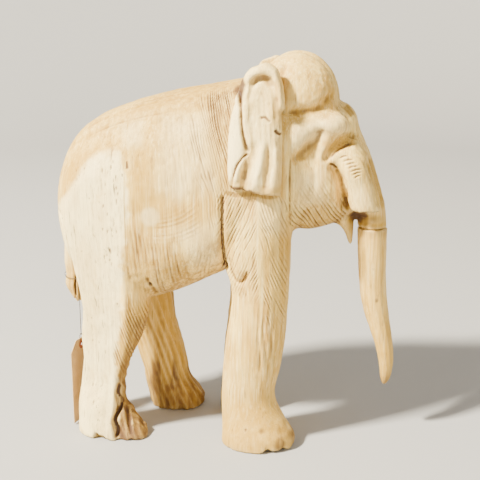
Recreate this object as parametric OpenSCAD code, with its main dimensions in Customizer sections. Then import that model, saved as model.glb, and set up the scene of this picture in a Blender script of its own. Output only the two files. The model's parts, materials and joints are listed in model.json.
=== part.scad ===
// Carved wooden elephant, standing, head towards +X, its right side towards -Y.
// It is blocked up from upright-grain blocks that are dowelled and glued, with the ears and the
// tail let in, and a blank card tag hangs by a thread from the tail.
// Millimetres, +Z up, origin on the ground at the middle of the box that encloses it.

/* [Blocks] */
// Half the width of the barrel of the body
body_half_width = 88; // [82:1:92]
// Distance from the middle plane to the middle of each leg
leg_offset = 50; // [47:1:53]
// Gap filled by glue between two blocks
glue_gap = 0.2; // [0.1:0.05:0.3]

/* [Dowels] */
// Diameter of the block dowels
dowel_d = 12; // [8:1:14]
// Length of the block dowels
dowel_length = 56; // [40:2:64]
// Diameter of the pegs of the ears and tail
peg_d = 6; // [4:0.5:7]
// Radial room for glue round a dowel or peg
dowel_room = 0.08; // [0.05:0.01:0.15]

/* [Tusk sockets] */
// Diameter of each empty tusk socket
socket_d = 13; // [10:1:15]
// Depth of each tusk socket
socket_depth = 24; // [16:1:28]

/* [Tag] */
// Length of the card
tag_length = 118; // [100:1:120]
// Width of the card
tag_width = 58; // [50:1:60]
// Thickness of the card
tag_thickness = 0.8; // [0.6:0.1:1]
// Diameter of the thread
thread_d = 1.2; // [1:0.1:1.6]
// Turn of the card about its thread, from lying along the elephant
tag_turn = 77; // [70:1:80]

/* [Hidden] */

RIGHT = -1;
LEFT = 1;
BIG = 700;

// Joints between the blocks. Below leg_top a leg belongs wholly to its own quarter.
hind_joint_x = -116;
fore_joint_x = 8;
neck_joint_x = 92;
hind_leg_top = 176;
fore_leg_top = 204;
leg_parting_x = -34;
fore_leg_front_x = 140;
dome_lap_x = 34;
dome_lap_z = 440;
trunk_joint_z = 288;

// Body cross-sections: [x, lowest z, z of greatest width, highest z, half width, squareness],
// drawn for a body of this half width
body_half_width_drawn = 88;
BODY = [
    [-228.4, 300, 314, 328, 8, 2],
    [-221, 258, 311, 352, 32, 2],
    [-211, 234, 307, 382, 50, 2.1],
    [-197, 214, 303, 403, 64, 2.2],
    [-176, 196, 300, 422, 76, 2.3],
    [-150, 184, 300, 437, 83, 2.4],
    [-120, 180, 300, 448, 86, 2.5],
    [-86, 188, 305, 458, 88, 2.6],
    [-50, 202, 312, 466, 88, 2.6],
    [-10, 222, 322, 473, 87, 2.6],
    [26, 240, 335, 480, 83, 2.6],
    [60, 258, 345, 486, 78, 2.7],
    [94, 284, 362, 482, 68, 2.5],
    [120, 304, 375, 470, 54, 2.3]
];

// Leg cross-sections: [z, middle x, outward shift from leg_offset, half length, half width]
HIND_LEG_RIGHT = [
    [0, -150, 3, 48, 35],
    [14, -153, 3, 45, 34],
    [28, -157, 2, 40, 32],
    [42, -162, 1, 35, 30],
    [58, -162, 0, 33, 28],
    [82, -160, 0, 31, 28],
    [108, -155, 0, 33, 28],
    [126, -151, 0, 38, 29],
    [148, -146, 0, 43, 31],
    [178, -141, 0, 45, 34],
    [230, -146, -4, 50, 38],
    [290, -154, -8, 55, 40],
    [350, -158, -14, 50, 36],
    [395, -158, -20, 26, 22]
];
HIND_LEG_LEFT = [
    [0, -80, 3, 41, 35],
    [14, -82, 3, 41, 34],
    [28, -87, 2, 38, 32],
    [40, -93, 1, 35, 30],
    [54, -96, 0, 33, 28],
    [72, -100, 0, 34, 28],
    [98, -106, 0, 35, 28],
    [131, -116, 0, 35, 29],
    [165, -125, 0, 41, 32],
    [190, -133, 0, 45, 35],
    [230, -142, -4, 50, 38],
    [290, -152, -8, 55, 40],
    [350, -158, -14, 50, 36],
    [395, -158, -20, 26, 22]
];
FORE_LEG_RIGHT = [
    [0, 47, 2, 50, 37],
    [14, 47, 2, 50, 36],
    [24, 46, 2, 48, 35],
    [34, 43, 1, 44, 33],
    [51, 39, 0, 38, 31],
    [66, 37, 0, 36, 30],
    [80, 38, 0, 36, 30],
    [123, 44, 0, 39, 30],
    [155, 48, 0, 39, 31],
    [190, 52, 0, 37, 32],
    [210, 53, 0, 38, 33],
    [230, 51, 0, 40, 34],
    [247, 48, -1, 44, 36],
    [290, 47, -3, 45, 38],
    [340, 47, -7, 42, 37],
    [390, 46, -16, 26, 26]
];
FORE_LEG_LEFT = [
    [0, 21, 2, 37, 35],
    [14, 21, 2, 37, 34],
    [26, 20, 2, 35, 33],
    [44, 19, 0, 32, 30],
    [66, 19, 0, 31, 29],
    [90, 22, 0, 33, 29],
    [123, 28, 0, 35, 30],
    [160, 33, 0, 36, 31],
    [200, 36, 0, 37, 33],
    [230, 38, 0, 41, 34],
    [250, 40, -1, 44, 36],
    [290, 43, -3, 45, 38],
    [340, 46, -7, 42, 37],
    [390, 46, -16, 26, 26]
];

// Sections of the head and trunk: [z, middle x, middle y, half length, half width]
FACE = [
    [287, 106, 0, 16, 20],
    [295, 115, 0, 31, 34],
    [310, 121, 0, 40, 44],
    [338, 124, 0, 44, 51],
    [368, 126, 0, 46, 55],
    [398, 127, 0, 45, 56],
    [428, 118, 0, 45, 55],
    [452, 106, 0, 43, 52],
    [478, 98, 0, 36, 45]
];
TRUNK_ROOT = [
    [288, 194, 0, 18.6, 18],
    [306, 190, 0, 21, 20],
    [336, 180, 0, 25, 26],
    [380, 164, 0, 26.5, 32],
    [408, 152, 0, 26, 32],
    [430, 145, 0, 25, 27],
    [442, 141, 0, 24.5, 20],
    [450, 137, 0, 20, 12]
];
TRUNK = [
    [69, 217, 0, 2.5, 4],
    [78, 218.5, 0, 6.5, 8],
    [95, 219, 0, 9.2, 10.5],
    [114, 217, 0, 11, 12],
    [131, 214, 0, 12.5, 13.5],
    [162, 205.5, 0, 15.5, 15.5],
    [187, 200, 0, 17.3, 17],
    [215, 196.5, 0, 17.8, 18],
    [256, 194.5, 0, 19, 19.3],
    [288, 194, 0, 19.4, 20]
];
TUSK_SHEATH = [
    [318, 185, 35, 19, 17],
    [332, 182, 35, 21, 18],
    [352, 175, 35, 22, 19],
    [374, 167, 34, 23, 19],
    [396, 158, 31, 21, 17],
    [412, 152, 28, 14, 12]
];
LOWER_LIP = [
    [263, 166, 0, 2, 3],
    [270, 165, 0, 4.3, 6],
    [281, 162, 0, 7.5, 9],
    [293, 157, 0, 13, 14],
    [308, 156, 0, 18, 19],
    [322, 154, 0, 22, 24]
];
// The ears are drawn standing upright on the seat plane, then leant in at the top
EAR_PANEL = [
    [-72, 66, 0, 27, 8],
    [-64, 63, 0, 30, 12],
    [-34, 60, 0, 33, 14],
    [6, 59, 0, 33, 14],
    [34, 59, 0, 30, 13],
    [56, 59, 0, 24, 10],
    [72, 60, 0, 14, 6]
];
EAR_LEAF = [
    [-66, 28, 0, 7, 9],
    [-54, 29, 0, 10, 12],
    [-14, 31, 0, 13, 14],
    [26, 33, 0, 12, 14],
    [48, 35, 0, 8, 11],
    [60, 37, 0, 3, 6]
];
// The rolled rim over the top of an ear, as [x, height on the seat]
EAR_RIM = [[32, 44], [36, 62], [46, 75], [60, 80], [73, 75], [83, 60], [88, 38]];
ear_rim_d = 18;
EAR_SEAT = [0, 72, 416];
ear_lean = 10;
// The part of the seat plane that an ear covers, as [x, height on the seat]
SEAT_MIDDLE = [56, 10];
SEAT_SIZE = [80, 174];
TAIL = [
    [168, -207, 0, 3, 5],
    [176, -209, 0, 6.5, 9],
    [187, -212, 0, 10.5, 12],
    [197, -213, 0, 12.3, 13.5],
    [208, -212.5, 0, 11.2, 12],
    [226, -214, 0, 11.3, 12.5],
    [262, -213.5, 0, 10.5, 13],
    [300, -217, 0, 9, 12],
    [320, -221, 0, 5, 8]
];

// Dowels between the blocks, as [y, z] where they cross a joint across the elephant
HIND_DOWELS = [for (s = [RIGHT, LEFT], z = [262, 384]) [s * 42, z]];
FORE_DOWELS = [for (s = [RIGHT, LEFT], z = [272, 396]) [s * 42, z]];
NECK_DOWELS = [[-30, 335], [30, 335], [0, 400]];
// Dowels that cross the middle plane, as [x, z]
RUMP_CROSS = [[-168, 250], [-160, 360]];
CHEST_CROSS = [[30, 300], [60, 380]];
// Pegs of the ears, as [x, height on the seat], and of the tail, as [y, z]
EAR_PEGS = [[56, -40], [56, 12]];
TAIL_PEGS = [[-6.5, 288], [6.5, 256]];
ear_peg_length = 34;
ear_peg_inset = 6;
tail_peg_length = 36;
tail_peg_x = -202;
trunk_dowel_length = 50;
trunk_dowel_x = 192;

// Tusk sockets: the middle of each mouth, the tilt of the bore forward and outward, and how far
// the cut runs on below the mouth
SOCKET = [187, 37, 318];
socket_forward = 16;
socket_outward = 8;
socket_run_out = 12;

// A thread is noosed loosely round the tail above its tuft, with its knot on the right
NOOSE = [
    [-201.5, -14.6, 205], [-200, -10, 206], [-199.6, -4, 207], [-200.2, 3, 208], [-203.4, 9.2, 209],
    [-208.4, 12.8, 209], [-214.4, 13.2, 209], [-220.4, 10.6, 209], [-224.4, 5, 209],
    [-225.2, -1, 209], [-223.6, -7, 208], [-219, -11.6, 207], [-212.6, -13.8, 206],
    [-206.6, -14.8, 205]
];
KNOT = [-202, -16, 204];
knot_r = 2.2;
thread_slack = 0.3;
// It hangs straight down to a hitch through the hole in the card
tag_floor_gap = 2;
hole_drop = 9;
hole_z = tag_floor_gap + tag_length - hole_drop;
hole_d = 6;
corner_cut = 14;
patch_d = 14;
patch_bore = 5.2;
patch_thickness = 0.4;
// The hitch, as [distance out from the card, height over the middle of the hole]
HITCH = [[0, 1.5], [1.3, 1.6], [2.2, 3.2], [2.3, 8], [1.8, 12], [0, 14]];
hitch_top = 14;
hitch_knot_r = 1.5;
thread_low = hole_z + hitch_top + hitch_knot_r + thread_slack;
thread_high = KNOT[2] - knot_r - thread_slack;
THREAD = [for (i = [0:24]) [KNOT[0], KNOT[1], thread_low + (thread_high - thread_low) * i / 24]];

// --- Shapes ---

function catmull(a, b, c, d, t) =
    (2 * b + (c - a) * t + (2 * a - 5 * b + 4 * c - d) * t * t
        + (3 * b - a - 3 * c + d) * t * t * t) / 2;

// The sections with `steps` smooth ones for each gap between them
function smoothed(s, steps) = [
    for (i = [0:len(s) - 2], j = [0:steps - 1])
        catmull(s[max(i - 1, 0)], s[i], s[i + 1], s[min(i + 2, len(s) - 1)], j / steps),
    s[len(s) - 1]
];

function power(v, k) = sign(v) * pow(abs(v), 2 / k);

// An upright limb's section as a ring of points
function upright_ring(s, sides) = [
    for (i = [0:sides - 1])
        let (a = 360 * i / sides)
        [s[1] + s[3] * cos(a), s[2] + s[4] * sin(a), s[0]]
];

// A body section as a ring of points
function body_ring(s, sides) = [
    for (i = [0:sides - 1])
        let (a = 360 * i / sides, up = power(sin(a), s[5]))
        [s[0], s[4] * power(cos(a), s[5]), s[2] + up * (up > 0 ? s[3] - s[2] : s[2] - s[1])]
];

// A closed skin over rings that all have the same number of points; a looped one joins its ends
module skin(rings, looped = false) {
    n = len(rings[0]);
    count = len(rings);
    sides = [
        for (r = [0:count - (looped ? 1 : 2)], i = [0:n - 1])
            let (a = r * n, b = (r + 1) % count * n, j = (i + 1) % n)
            each [[a + i, b + j, a + j], [a + i, b + i, b + j]]
    ];
    low_end = [for (i = [0:n - 1]) i];
    high_end = [for (i = [n - 1:-1:0]) (count - 1) * n + i];
    ends = looped ? [] : [low_end, high_end];
    polyhedron(points = [for (r = rings) each r], faces = concat(ends, sides));
}

module limb(sections, steps = 2, sides = 24) {
    skin([for (s = smoothed(sections, steps)) upright_ring(s, sides)]);
}

module egg(middle, radii) {
    translate(middle)
        scale(radii)
            sphere(1, $fn = 32);
}

// Joins carved forms into one skin, ready for drilling
module carved() {
    resize([0, 0, 0])
        children();
}

module rod(d, length, axis, middle) {
    turn = axis == "x" ? [0, 90, 0] : axis == "y" ? [90, 0, 0] : [0, 0, 0];
    translate(middle)
        rotate(turn)
            cylinder(d = d, h = length, center = true, $fn = 48);
}

// A box from one corner to the opposite one
module block(low, high) {
    translate(low)
        cube(high - low);
}

module dowels(places, x, room = 0) {
    for (p = places)
        rod(dowel_d + 2 * room, dowel_length + 4 * room, "x", [x, p[0], p[1]]);
}

module cross_dowels(places, room = 0) {
    for (p = places)
        rod(dowel_d + 2 * room, dowel_length + 4 * room, "y", [p[0], 0, p[1]]);
}

// --- Forms that several blocks share ---

module body_form() {
    grow = body_half_width / body_half_width_drawn;
    skin([for (s = smoothed(BODY, 2)) body_ring([s[0], s[1], s[2], s[3], s[4] * grow, s[5]], 40)]);
}

module leg(sections, side) {
    limb([for (s = sections) [s[0], s[1], side * (leg_offset + s[2]), s[3], s[4]]]);
}

module tail_form(extra = 0) {
    limb([for (s = TAIL) s + [0, 0, 0, extra, extra]], steps = 3);
}

// Stands its children on the seat of one ear, with outward along -Y or +Y
module on_ear_seat(side) {
    translate([EAR_SEAT[0], side * EAR_SEAT[1], EAR_SEAT[2]])
        rotate([side * ear_lean, 0, 0])
            children();
}

// Everything beyond the seat plane of one ear
module beyond_seat(side) {
    on_ear_seat(side)
        translate([SEAT_MIDDLE[0], side * BIG / 2, SEAT_MIDDLE[1]])
            cube([SEAT_SIZE[0], BIG, SEAT_SIZE[1]], center = true);
}

// The flat on each side of the neck and shoulder where an ear is let in
module ear_seats() {
    for (side = [RIGHT, LEFT])
        translate([0, -side * glue_gap, 0])
            beyond_seat(side);
}

// Everything on one side of the middle plane
module half_space(side) {
    y = glue_gap / 2;
    block(
        [-BIG, side == RIGHT ? -BIG : y, -1],
        [BIG, side == RIGHT ? -y : BIG, BIG]
    );
}

module hind_region() {
    block([-BIG, -BIG, -1], [hind_joint_x, BIG, BIG]);
    block([-BIG, -BIG, -1], [leg_parting_x, BIG, hind_leg_top]);
}

module fore_region() {
    block([fore_joint_x, -BIG, -1], [neck_joint_x, BIG, dome_lap_z]);
    block([fore_joint_x, -BIG, -1], [dome_lap_x, BIG, BIG]);
    block([leg_parting_x, -BIG, -1], [fore_leg_front_x, BIG, fore_leg_top]);
}

// --- The wooden blocks ---

module hindquarter(side, sections) {
    color("BlanchedAlmond")
    difference() {
        carved()
        intersection() {
            difference() {
                union() {
                    body_form();
                    leg(sections, side);
                }
                tail_form(glue_gap);
            }
            hind_region();
            half_space(side);
        }
        dowels(HIND_DOWELS, hind_joint_x, dowel_room);
        cross_dowels(RUMP_CROSS, dowel_room);
        tail_peg_rods(dowel_room);
    }
}

module hindquarter_right() {
    hindquarter(RIGHT, HIND_LEG_RIGHT);
}

module hindquarter_left() {
    hindquarter(LEFT, HIND_LEG_LEFT);
}

module barrel() {
    low_x = hind_joint_x + glue_gap;
    high_x = fore_joint_x - glue_gap;
    color("Wheat")
    difference() {
        carved()
        intersection() {
            union() {
                body_form();
                leg(HIND_LEG_RIGHT, RIGHT);
                leg(HIND_LEG_LEFT, LEFT);
                leg(FORE_LEG_RIGHT, RIGHT);
                leg(FORE_LEG_LEFT, LEFT);
            }
            union() {
                block([low_x, -BIG, hind_leg_top + glue_gap], [leg_parting_x, BIG, BIG]);
                block([leg_parting_x, -BIG, fore_leg_top + glue_gap], [high_x, BIG, BIG]);
            }
        }
        dowels(HIND_DOWELS, hind_joint_x, dowel_room);
        dowels(FORE_DOWELS, fore_joint_x, dowel_room);
    }
}

module forequarter(side, sections) {
    color("BlanchedAlmond")
    difference() {
        carved()
        intersection() {
            difference() {
                union() {
                    body_form();
                    leg(sections, side);
                }
                ear_seats();
            }
            fore_region();
            half_space(side);
        }
        dowels(FORE_DOWELS, fore_joint_x, dowel_room);
        dowels(NECK_DOWELS, neck_joint_x, dowel_room);
        cross_dowels(CHEST_CROSS, dowel_room);
        ear_peg_rods(side, dowel_room);
    }
}

module forequarter_right() {
    forequarter(RIGHT, FORE_LEG_RIGHT);
}

module forequarter_left() {
    forequarter(LEFT, FORE_LEG_LEFT);
}

// Two domes, brows, cheeks, the root of the trunk, the tusk sheaths and the pointed lower lip
module head_forms() {
    body_form();
    limb(FACE);
    limb(TRUNK_ROOT);
    limb(LOWER_LIP, steps = 3, sides = 20);
    for (side = [RIGHT, LEFT]) {
        egg([93, side * 19, 450], [54, 38, 64]);
        egg([130, side * 32, 424], [30, 24, 20]);
        egg([118, side * 38, 350], [36, 16, 36]);
        limb([for (s = TUSK_SHEATH) [s[0], s[1], side * s[2], s[3], s[4]]]);
    }
}

module tusk_sockets() {
    for (side = [RIGHT, LEFT])
        translate([SOCKET[0], side * SOCKET[1], SOCKET[2]])
            rotate([side * socket_outward, -socket_forward, 0])
                translate([0, 0, -socket_run_out])
                    cylinder(d = socket_d, h = socket_depth + socket_run_out, $fn = 48);
}

module head() {
    color("Wheat")
    difference() {
        carved()
        intersection() {
            difference() {
                head_forms();
                ear_seats();
            }
            union() {
                block([neck_joint_x + glue_gap, -BIG, fore_leg_top], [BIG, BIG, BIG]);
                block([dome_lap_x + glue_gap, -BIG, dome_lap_z + glue_gap], [BIG, BIG, BIG]);
            }
        }
        dowels(NECK_DOWELS, neck_joint_x, dowel_room);
        tusk_sockets();
        trunk_dowel_rod(dowel_room);
    }
}

module trunk() {
    color("Burlywood")
    difference() {
        carved()
        intersection() {
            limb(TRUNK);
            block([0, -BIG, 0], [BIG, BIG, trunk_joint_z - glue_gap]);
        }
        trunk_dowel_rod(dowel_room);
    }
}

module ear(side) {
    color("BlanchedAlmond")
    difference() {
        carved()
        intersection() {
            on_ear_seat(side)
            union() {
                limb([for (s = EAR_PANEL) [s[0], s[1], side * s[2], s[3], s[4]]]);
                limb([for (s = EAR_LEAF) [s[0], s[1], side * s[2], s[3], s[4]]], sides = 16);
                for (i = [0:len(EAR_RIM) - 2])
                    hull() {
                        egg([EAR_RIM[i][0], 0, EAR_RIM[i][1]], ear_rim_d / 2 * [1, 1.5, 1]);
                        egg([EAR_RIM[i + 1][0], 0, EAR_RIM[i + 1][1]], ear_rim_d / 2 * [1, 1.5, 1]);
                    }
            }
            beyond_seat(side);
        }
        ear_peg_rods(side, dowel_room);
    }
}

module ear_right() {
    ear(RIGHT);
}

module ear_left() {
    ear(LEFT);
}

module tail() {
    color("Tan")
    difference() {
        carved()
        tail_form();
        tail_peg_rods(dowel_room);
    }
}

// --- Dowels and pegs ---

module ear_peg_rods(side, room = 0) {
    for (p = EAR_PEGS)
        on_ear_seat(side)
            rod(peg_d + 2 * room, ear_peg_length + 4 * room, "y", [p[0], -side * ear_peg_inset, p[1]]);
}

module tail_peg_rods(room = 0) {
    for (p = TAIL_PEGS)
        rod(peg_d + 2 * room, tail_peg_length + 4 * room, "x", [tail_peg_x, p[0], p[1]]);
}

module trunk_dowel_rod(room = 0) {
    rod(dowel_d + 2 * room, trunk_dowel_length + 4 * room, "z", [trunk_dowel_x, 0, trunk_joint_z]);
}

module hind_dowels() {
    color("Peru")
    dowels(HIND_DOWELS, hind_joint_x);
}

module fore_dowels() {
    color("Peru")
    dowels(FORE_DOWELS, fore_joint_x);
}

module neck_dowels() {
    color("Peru")
    dowels(NECK_DOWELS, neck_joint_x);
}

module rump_cross_dowels() {
    color("Peru")
    cross_dowels(RUMP_CROSS);
}

module chest_cross_dowels() {
    color("Peru")
    cross_dowels(CHEST_CROSS);
}

module trunk_dowel() {
    color("Peru")
    trunk_dowel_rod();
}

module ear_pegs_right() {
    color("Peru")
    ear_peg_rods(RIGHT);
}

module ear_pegs_left() {
    color("Peru")
    ear_peg_rods(LEFT);
}

module tail_pegs() {
    color("Peru")
    tail_peg_rods();
}

// --- The tag ---

// Points round a thread at one place, with `across` square to the whole route
function thread_ring(at, along, across) =
    let (u = across / norm(across), side = cross(along, u), v = side / norm(side))
    [for (i = [0:7]) at + thread_d / 2 * (cos(45 * i) * u + sin(45 * i) * v)];

module thread_tube(route, across, looped = false) {
    n = len(route);
    skin([
        for (i = [0:n - 1])
            let (
                next = looped ? (i + 1) % n : min(i + 1, n - 1),
                before = looped ? (i + n - 1) % n : max(i - 1, 0)
            )
            thread_ring(route[i], route[next] - route[before], across)
    ], looped);
}

// A loop round the tail with a barrel knot, which the hanging thread swings about
module thread_loop() {
    color("DarkSlateGray") {
        thread_tube(NOOSE, [0, 0, 1], looped = true);
        rod(2 * knot_r, 2 * knot_r, "y", KNOT);
    }
}

module tag_thread() {
    color("DarkSlateGray")
    thread_tube(THREAD, [1, 0, 0]);
}

// Stands its children at the hole in the card, with +Y up the card and +Z out of its face
module on_card() {
    translate([KNOT[0], KNOT[1], hole_z])
        rotate([90, 0, tag_turn])
            children();
}

// A loop through the hole in the card, with an upright barrel knot that the card twists about
module tag_hitch() {
    out = [for (p = HITCH) [0, p[1], p[0]]];
    back = [for (i = [len(HITCH) - 2:-1:1]) [0, HITCH[i][1], -HITCH[i][0]]];
    color("DarkSlateGray")
    on_card() {
        thread_tube(concat(out, back), [1, 0, 0], looped = true);
        rod(2 * hitch_knot_r, 2 * hitch_knot_r, "y", [0, hitch_top, 0]);
    }
}

module tag_card() {
    half = tag_width / 2;
    low = hole_drop - tag_length;
    color("BurlyWood")
    on_card()
    translate([0, 0, -tag_thickness / 2])
    linear_extrude(tag_thickness)
    difference() {
        polygon([
            [-half, low], [half, low], [half, hole_drop - corner_cut],
            [half - corner_cut, hole_drop], [corner_cut - half, hole_drop],
            [-half, hole_drop - corner_cut]
        ]);
        circle(d = hole_d, $fn = 40);
    }
}

// The ring glued round the hole on each face
module tag_patches() {
    color("Sienna")
    on_card()
    for (face = [-1, 1])
        translate([0, 0, face * (tag_thickness + patch_thickness) / 2])
            difference() {
                cylinder(d = patch_d, h = patch_thickness, center = true, $fn = 48);
                cylinder(d = patch_bore, h = 2 * patch_thickness, center = true, $fn = 40);
            }
}

hindquarter_right();
hindquarter_left();
barrel();
forequarter_right();
forequarter_left();
head();
trunk();
ear_right();
ear_left();
tail();
hind_dowels();
fore_dowels();
neck_dowels();
rump_cross_dowels();
chest_cross_dowels();
trunk_dowel();
ear_pegs_right();
ear_pegs_left();
tail_pegs();
thread_loop();
tag_thread();
tag_hitch();
tag_card();
tag_patches();
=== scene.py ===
"""Looks of the carved wooden elephant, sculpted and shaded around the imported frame.

The six big blocks are carved as one lump, so that gouges and stains run over their joints, and
are then sawn apart on the joint planes. Trunk, ears and tail are carved on their own.
Sculpting is done in millimetres; meshes are in metres.
"""
import json
import math

import bmesh
import bpy
import numpy as np
from mathutils import Vector
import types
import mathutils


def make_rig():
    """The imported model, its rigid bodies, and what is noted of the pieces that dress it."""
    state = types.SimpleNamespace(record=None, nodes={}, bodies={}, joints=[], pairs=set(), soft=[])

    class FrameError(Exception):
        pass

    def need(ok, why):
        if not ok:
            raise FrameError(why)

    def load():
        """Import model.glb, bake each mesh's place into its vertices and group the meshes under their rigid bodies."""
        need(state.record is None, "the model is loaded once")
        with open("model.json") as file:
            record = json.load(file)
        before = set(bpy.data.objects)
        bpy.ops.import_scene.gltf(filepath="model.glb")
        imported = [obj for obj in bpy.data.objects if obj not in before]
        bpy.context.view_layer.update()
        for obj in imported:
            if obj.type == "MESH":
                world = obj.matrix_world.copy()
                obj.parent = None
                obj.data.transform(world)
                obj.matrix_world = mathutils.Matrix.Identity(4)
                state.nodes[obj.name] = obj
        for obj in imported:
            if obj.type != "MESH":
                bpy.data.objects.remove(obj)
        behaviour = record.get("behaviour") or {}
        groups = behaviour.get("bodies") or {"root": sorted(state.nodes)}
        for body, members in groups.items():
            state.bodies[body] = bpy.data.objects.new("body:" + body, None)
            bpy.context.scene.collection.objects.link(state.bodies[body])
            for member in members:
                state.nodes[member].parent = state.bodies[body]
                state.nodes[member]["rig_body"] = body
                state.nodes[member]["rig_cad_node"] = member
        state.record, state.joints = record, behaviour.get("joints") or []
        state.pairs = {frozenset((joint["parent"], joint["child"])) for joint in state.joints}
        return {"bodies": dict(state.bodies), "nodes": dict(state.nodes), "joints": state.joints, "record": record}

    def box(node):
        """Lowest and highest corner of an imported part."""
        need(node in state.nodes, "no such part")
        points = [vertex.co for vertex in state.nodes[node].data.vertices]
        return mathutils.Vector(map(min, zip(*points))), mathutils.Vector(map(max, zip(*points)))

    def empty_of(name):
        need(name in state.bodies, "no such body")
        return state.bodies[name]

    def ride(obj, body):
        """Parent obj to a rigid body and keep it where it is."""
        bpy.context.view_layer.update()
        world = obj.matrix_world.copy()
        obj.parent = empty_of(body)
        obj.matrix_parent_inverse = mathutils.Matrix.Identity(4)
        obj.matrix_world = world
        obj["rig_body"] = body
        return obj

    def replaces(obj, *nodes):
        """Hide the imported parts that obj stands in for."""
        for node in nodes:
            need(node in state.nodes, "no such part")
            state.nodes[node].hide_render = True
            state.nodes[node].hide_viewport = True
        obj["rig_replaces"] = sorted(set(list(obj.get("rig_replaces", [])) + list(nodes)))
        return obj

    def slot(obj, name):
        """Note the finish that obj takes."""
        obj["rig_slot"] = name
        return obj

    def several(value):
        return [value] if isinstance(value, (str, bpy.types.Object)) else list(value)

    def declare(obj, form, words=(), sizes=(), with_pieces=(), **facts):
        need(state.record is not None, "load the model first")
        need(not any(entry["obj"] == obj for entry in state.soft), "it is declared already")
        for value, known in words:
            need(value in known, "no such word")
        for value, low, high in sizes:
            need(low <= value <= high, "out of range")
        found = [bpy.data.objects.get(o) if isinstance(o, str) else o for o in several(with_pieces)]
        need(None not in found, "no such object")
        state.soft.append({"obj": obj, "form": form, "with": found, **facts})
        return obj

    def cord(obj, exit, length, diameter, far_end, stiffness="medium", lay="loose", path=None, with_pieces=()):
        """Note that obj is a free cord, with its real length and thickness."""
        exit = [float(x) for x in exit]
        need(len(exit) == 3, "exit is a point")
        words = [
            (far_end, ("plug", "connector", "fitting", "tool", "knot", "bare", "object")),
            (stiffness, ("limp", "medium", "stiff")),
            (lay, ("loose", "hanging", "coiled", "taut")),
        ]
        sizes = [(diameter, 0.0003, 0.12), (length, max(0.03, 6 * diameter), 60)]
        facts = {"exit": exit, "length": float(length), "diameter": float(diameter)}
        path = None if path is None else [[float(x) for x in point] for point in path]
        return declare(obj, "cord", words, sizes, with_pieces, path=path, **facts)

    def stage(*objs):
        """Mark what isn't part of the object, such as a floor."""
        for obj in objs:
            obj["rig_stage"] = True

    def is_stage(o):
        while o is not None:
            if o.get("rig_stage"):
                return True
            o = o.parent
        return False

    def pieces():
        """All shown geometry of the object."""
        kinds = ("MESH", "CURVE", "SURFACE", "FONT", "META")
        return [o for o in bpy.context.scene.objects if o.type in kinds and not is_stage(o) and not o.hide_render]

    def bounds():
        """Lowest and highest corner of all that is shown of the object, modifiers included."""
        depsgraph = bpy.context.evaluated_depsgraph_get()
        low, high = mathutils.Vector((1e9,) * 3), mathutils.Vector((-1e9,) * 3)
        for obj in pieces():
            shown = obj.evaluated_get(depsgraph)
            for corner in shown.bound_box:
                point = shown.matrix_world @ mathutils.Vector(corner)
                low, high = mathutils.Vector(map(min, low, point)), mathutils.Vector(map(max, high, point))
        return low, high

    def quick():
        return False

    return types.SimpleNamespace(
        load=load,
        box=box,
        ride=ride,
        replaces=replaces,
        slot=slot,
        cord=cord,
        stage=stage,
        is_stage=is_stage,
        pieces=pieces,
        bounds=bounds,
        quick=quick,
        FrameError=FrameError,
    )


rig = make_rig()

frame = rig.load()
cad_low, cad_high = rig.bounds()

MM = 0.001
SIDES = (("right", -1), ("left", 1))
BLOCKS = ["hindquarter_right", "hindquarter_left", "barrel", "forequarter_right",
          "forequarter_left", "head"]
DOWELS = ["hind_dowels", "fore_dowels", "neck_dowels", "rump_cross_dowels", "chest_cross_dowels",
          "trunk_dowel", "ear_pegs_right", "ear_pegs_left", "tail_pegs"]


def middle(node):
    """The middle of a CAD node's box, in millimetres."""
    low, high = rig.box(node)
    return (low + high) / 2 / MM


# The upright joint planes are in the middle of the dowels that cross them
HIND_X = middle("hind_dowels").x
FORE_X = middle("fore_dowels").x
NECK_X = middle("neck_dowels").x
# The level ones, the parting under the barrel, and the step at the back of the dome
HIND_TOP = 176
FORE_TOP = 204
PARTING_X = -34
DOME_X = 34
DOME_Z = 440
# Past the feet, in front of the chest, and past everything
UNDER = -9
FORE_FRONT = 140
FAR = 700
# Half of the gap that a glue line leaves
GLUE = 0.1
# Mesh sizes
COARSE_VOXEL = 2.0
FINE_VOXEL = 1.9
QUICK_VOXEL = 2.2
LIMB_VOXEL = 1.35
TAIL_VOXEL = 1.25
# Edges sharper than this are shaded as edges
SHARP_DEGREES = 62

# Leg axes: (height, x) down the middle of each leg, and its y
LEGS = {
    "hind_right": ([(0, -150), (58, -162), (126, -151), (178, -141), (240, -150)], -50),
    "hind_left": ([(0, -80), (54, -96), (98, -106), (165, -125), (240, -146)], 50),
    "fore_right": ([(0, 47), (66, 37), (155, 48), (290, 47)], -50),
    "fore_left": ([(0, 21), (66, 19), (160, 33), (250, 40)], 50),
}
# How far a leg reaches from its axis, and its usual radius
LEG_HALF_X = 56
LEG_HALF_Y = 46
LEG_RADIUS = 34

# Down between the heel slab and the toes of the near hind foot, as (x, z)
CLEFT = [(-134, 78), (-138, 62), (-134, 46), (-140, 28), (-136, 14), (-139, 1)]

# ---------------------------------------------------------------- camera, cord, stage


def add_object(name, data):
    piece = bpy.data.objects.new(name, data)
    bpy.context.scene.collection.objects.link(piece)
    return piece


def aimed(name, data, place, way):
    """A camera or a light at a place, pointing along `way`."""
    item = add_object(name, data)
    item.location = place
    item.rotation_mode = "QUATERNION"
    item.rotation_quaternion = way.to_track_quat("-Z", "Y")
    return item


def make_camera():
    """A normal lens 1.3 m away, a little behind the side view and a little above."""
    look = Vector((0.019, 0.0, 0.264))
    away, azimuth, height = 1.3, math.radians(8), math.radians(15)
    back = Vector((
        math.sin(azimuth) * math.cos(height),
        -math.cos(azimuth) * math.cos(height),
        math.sin(height),
    ))
    data = bpy.data.cameras.new("camera")
    data.sensor_width = 36
    data.lens = 72.8
    bpy.context.scene.camera = aimed("camera", data, look + back * away, -back)


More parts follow.
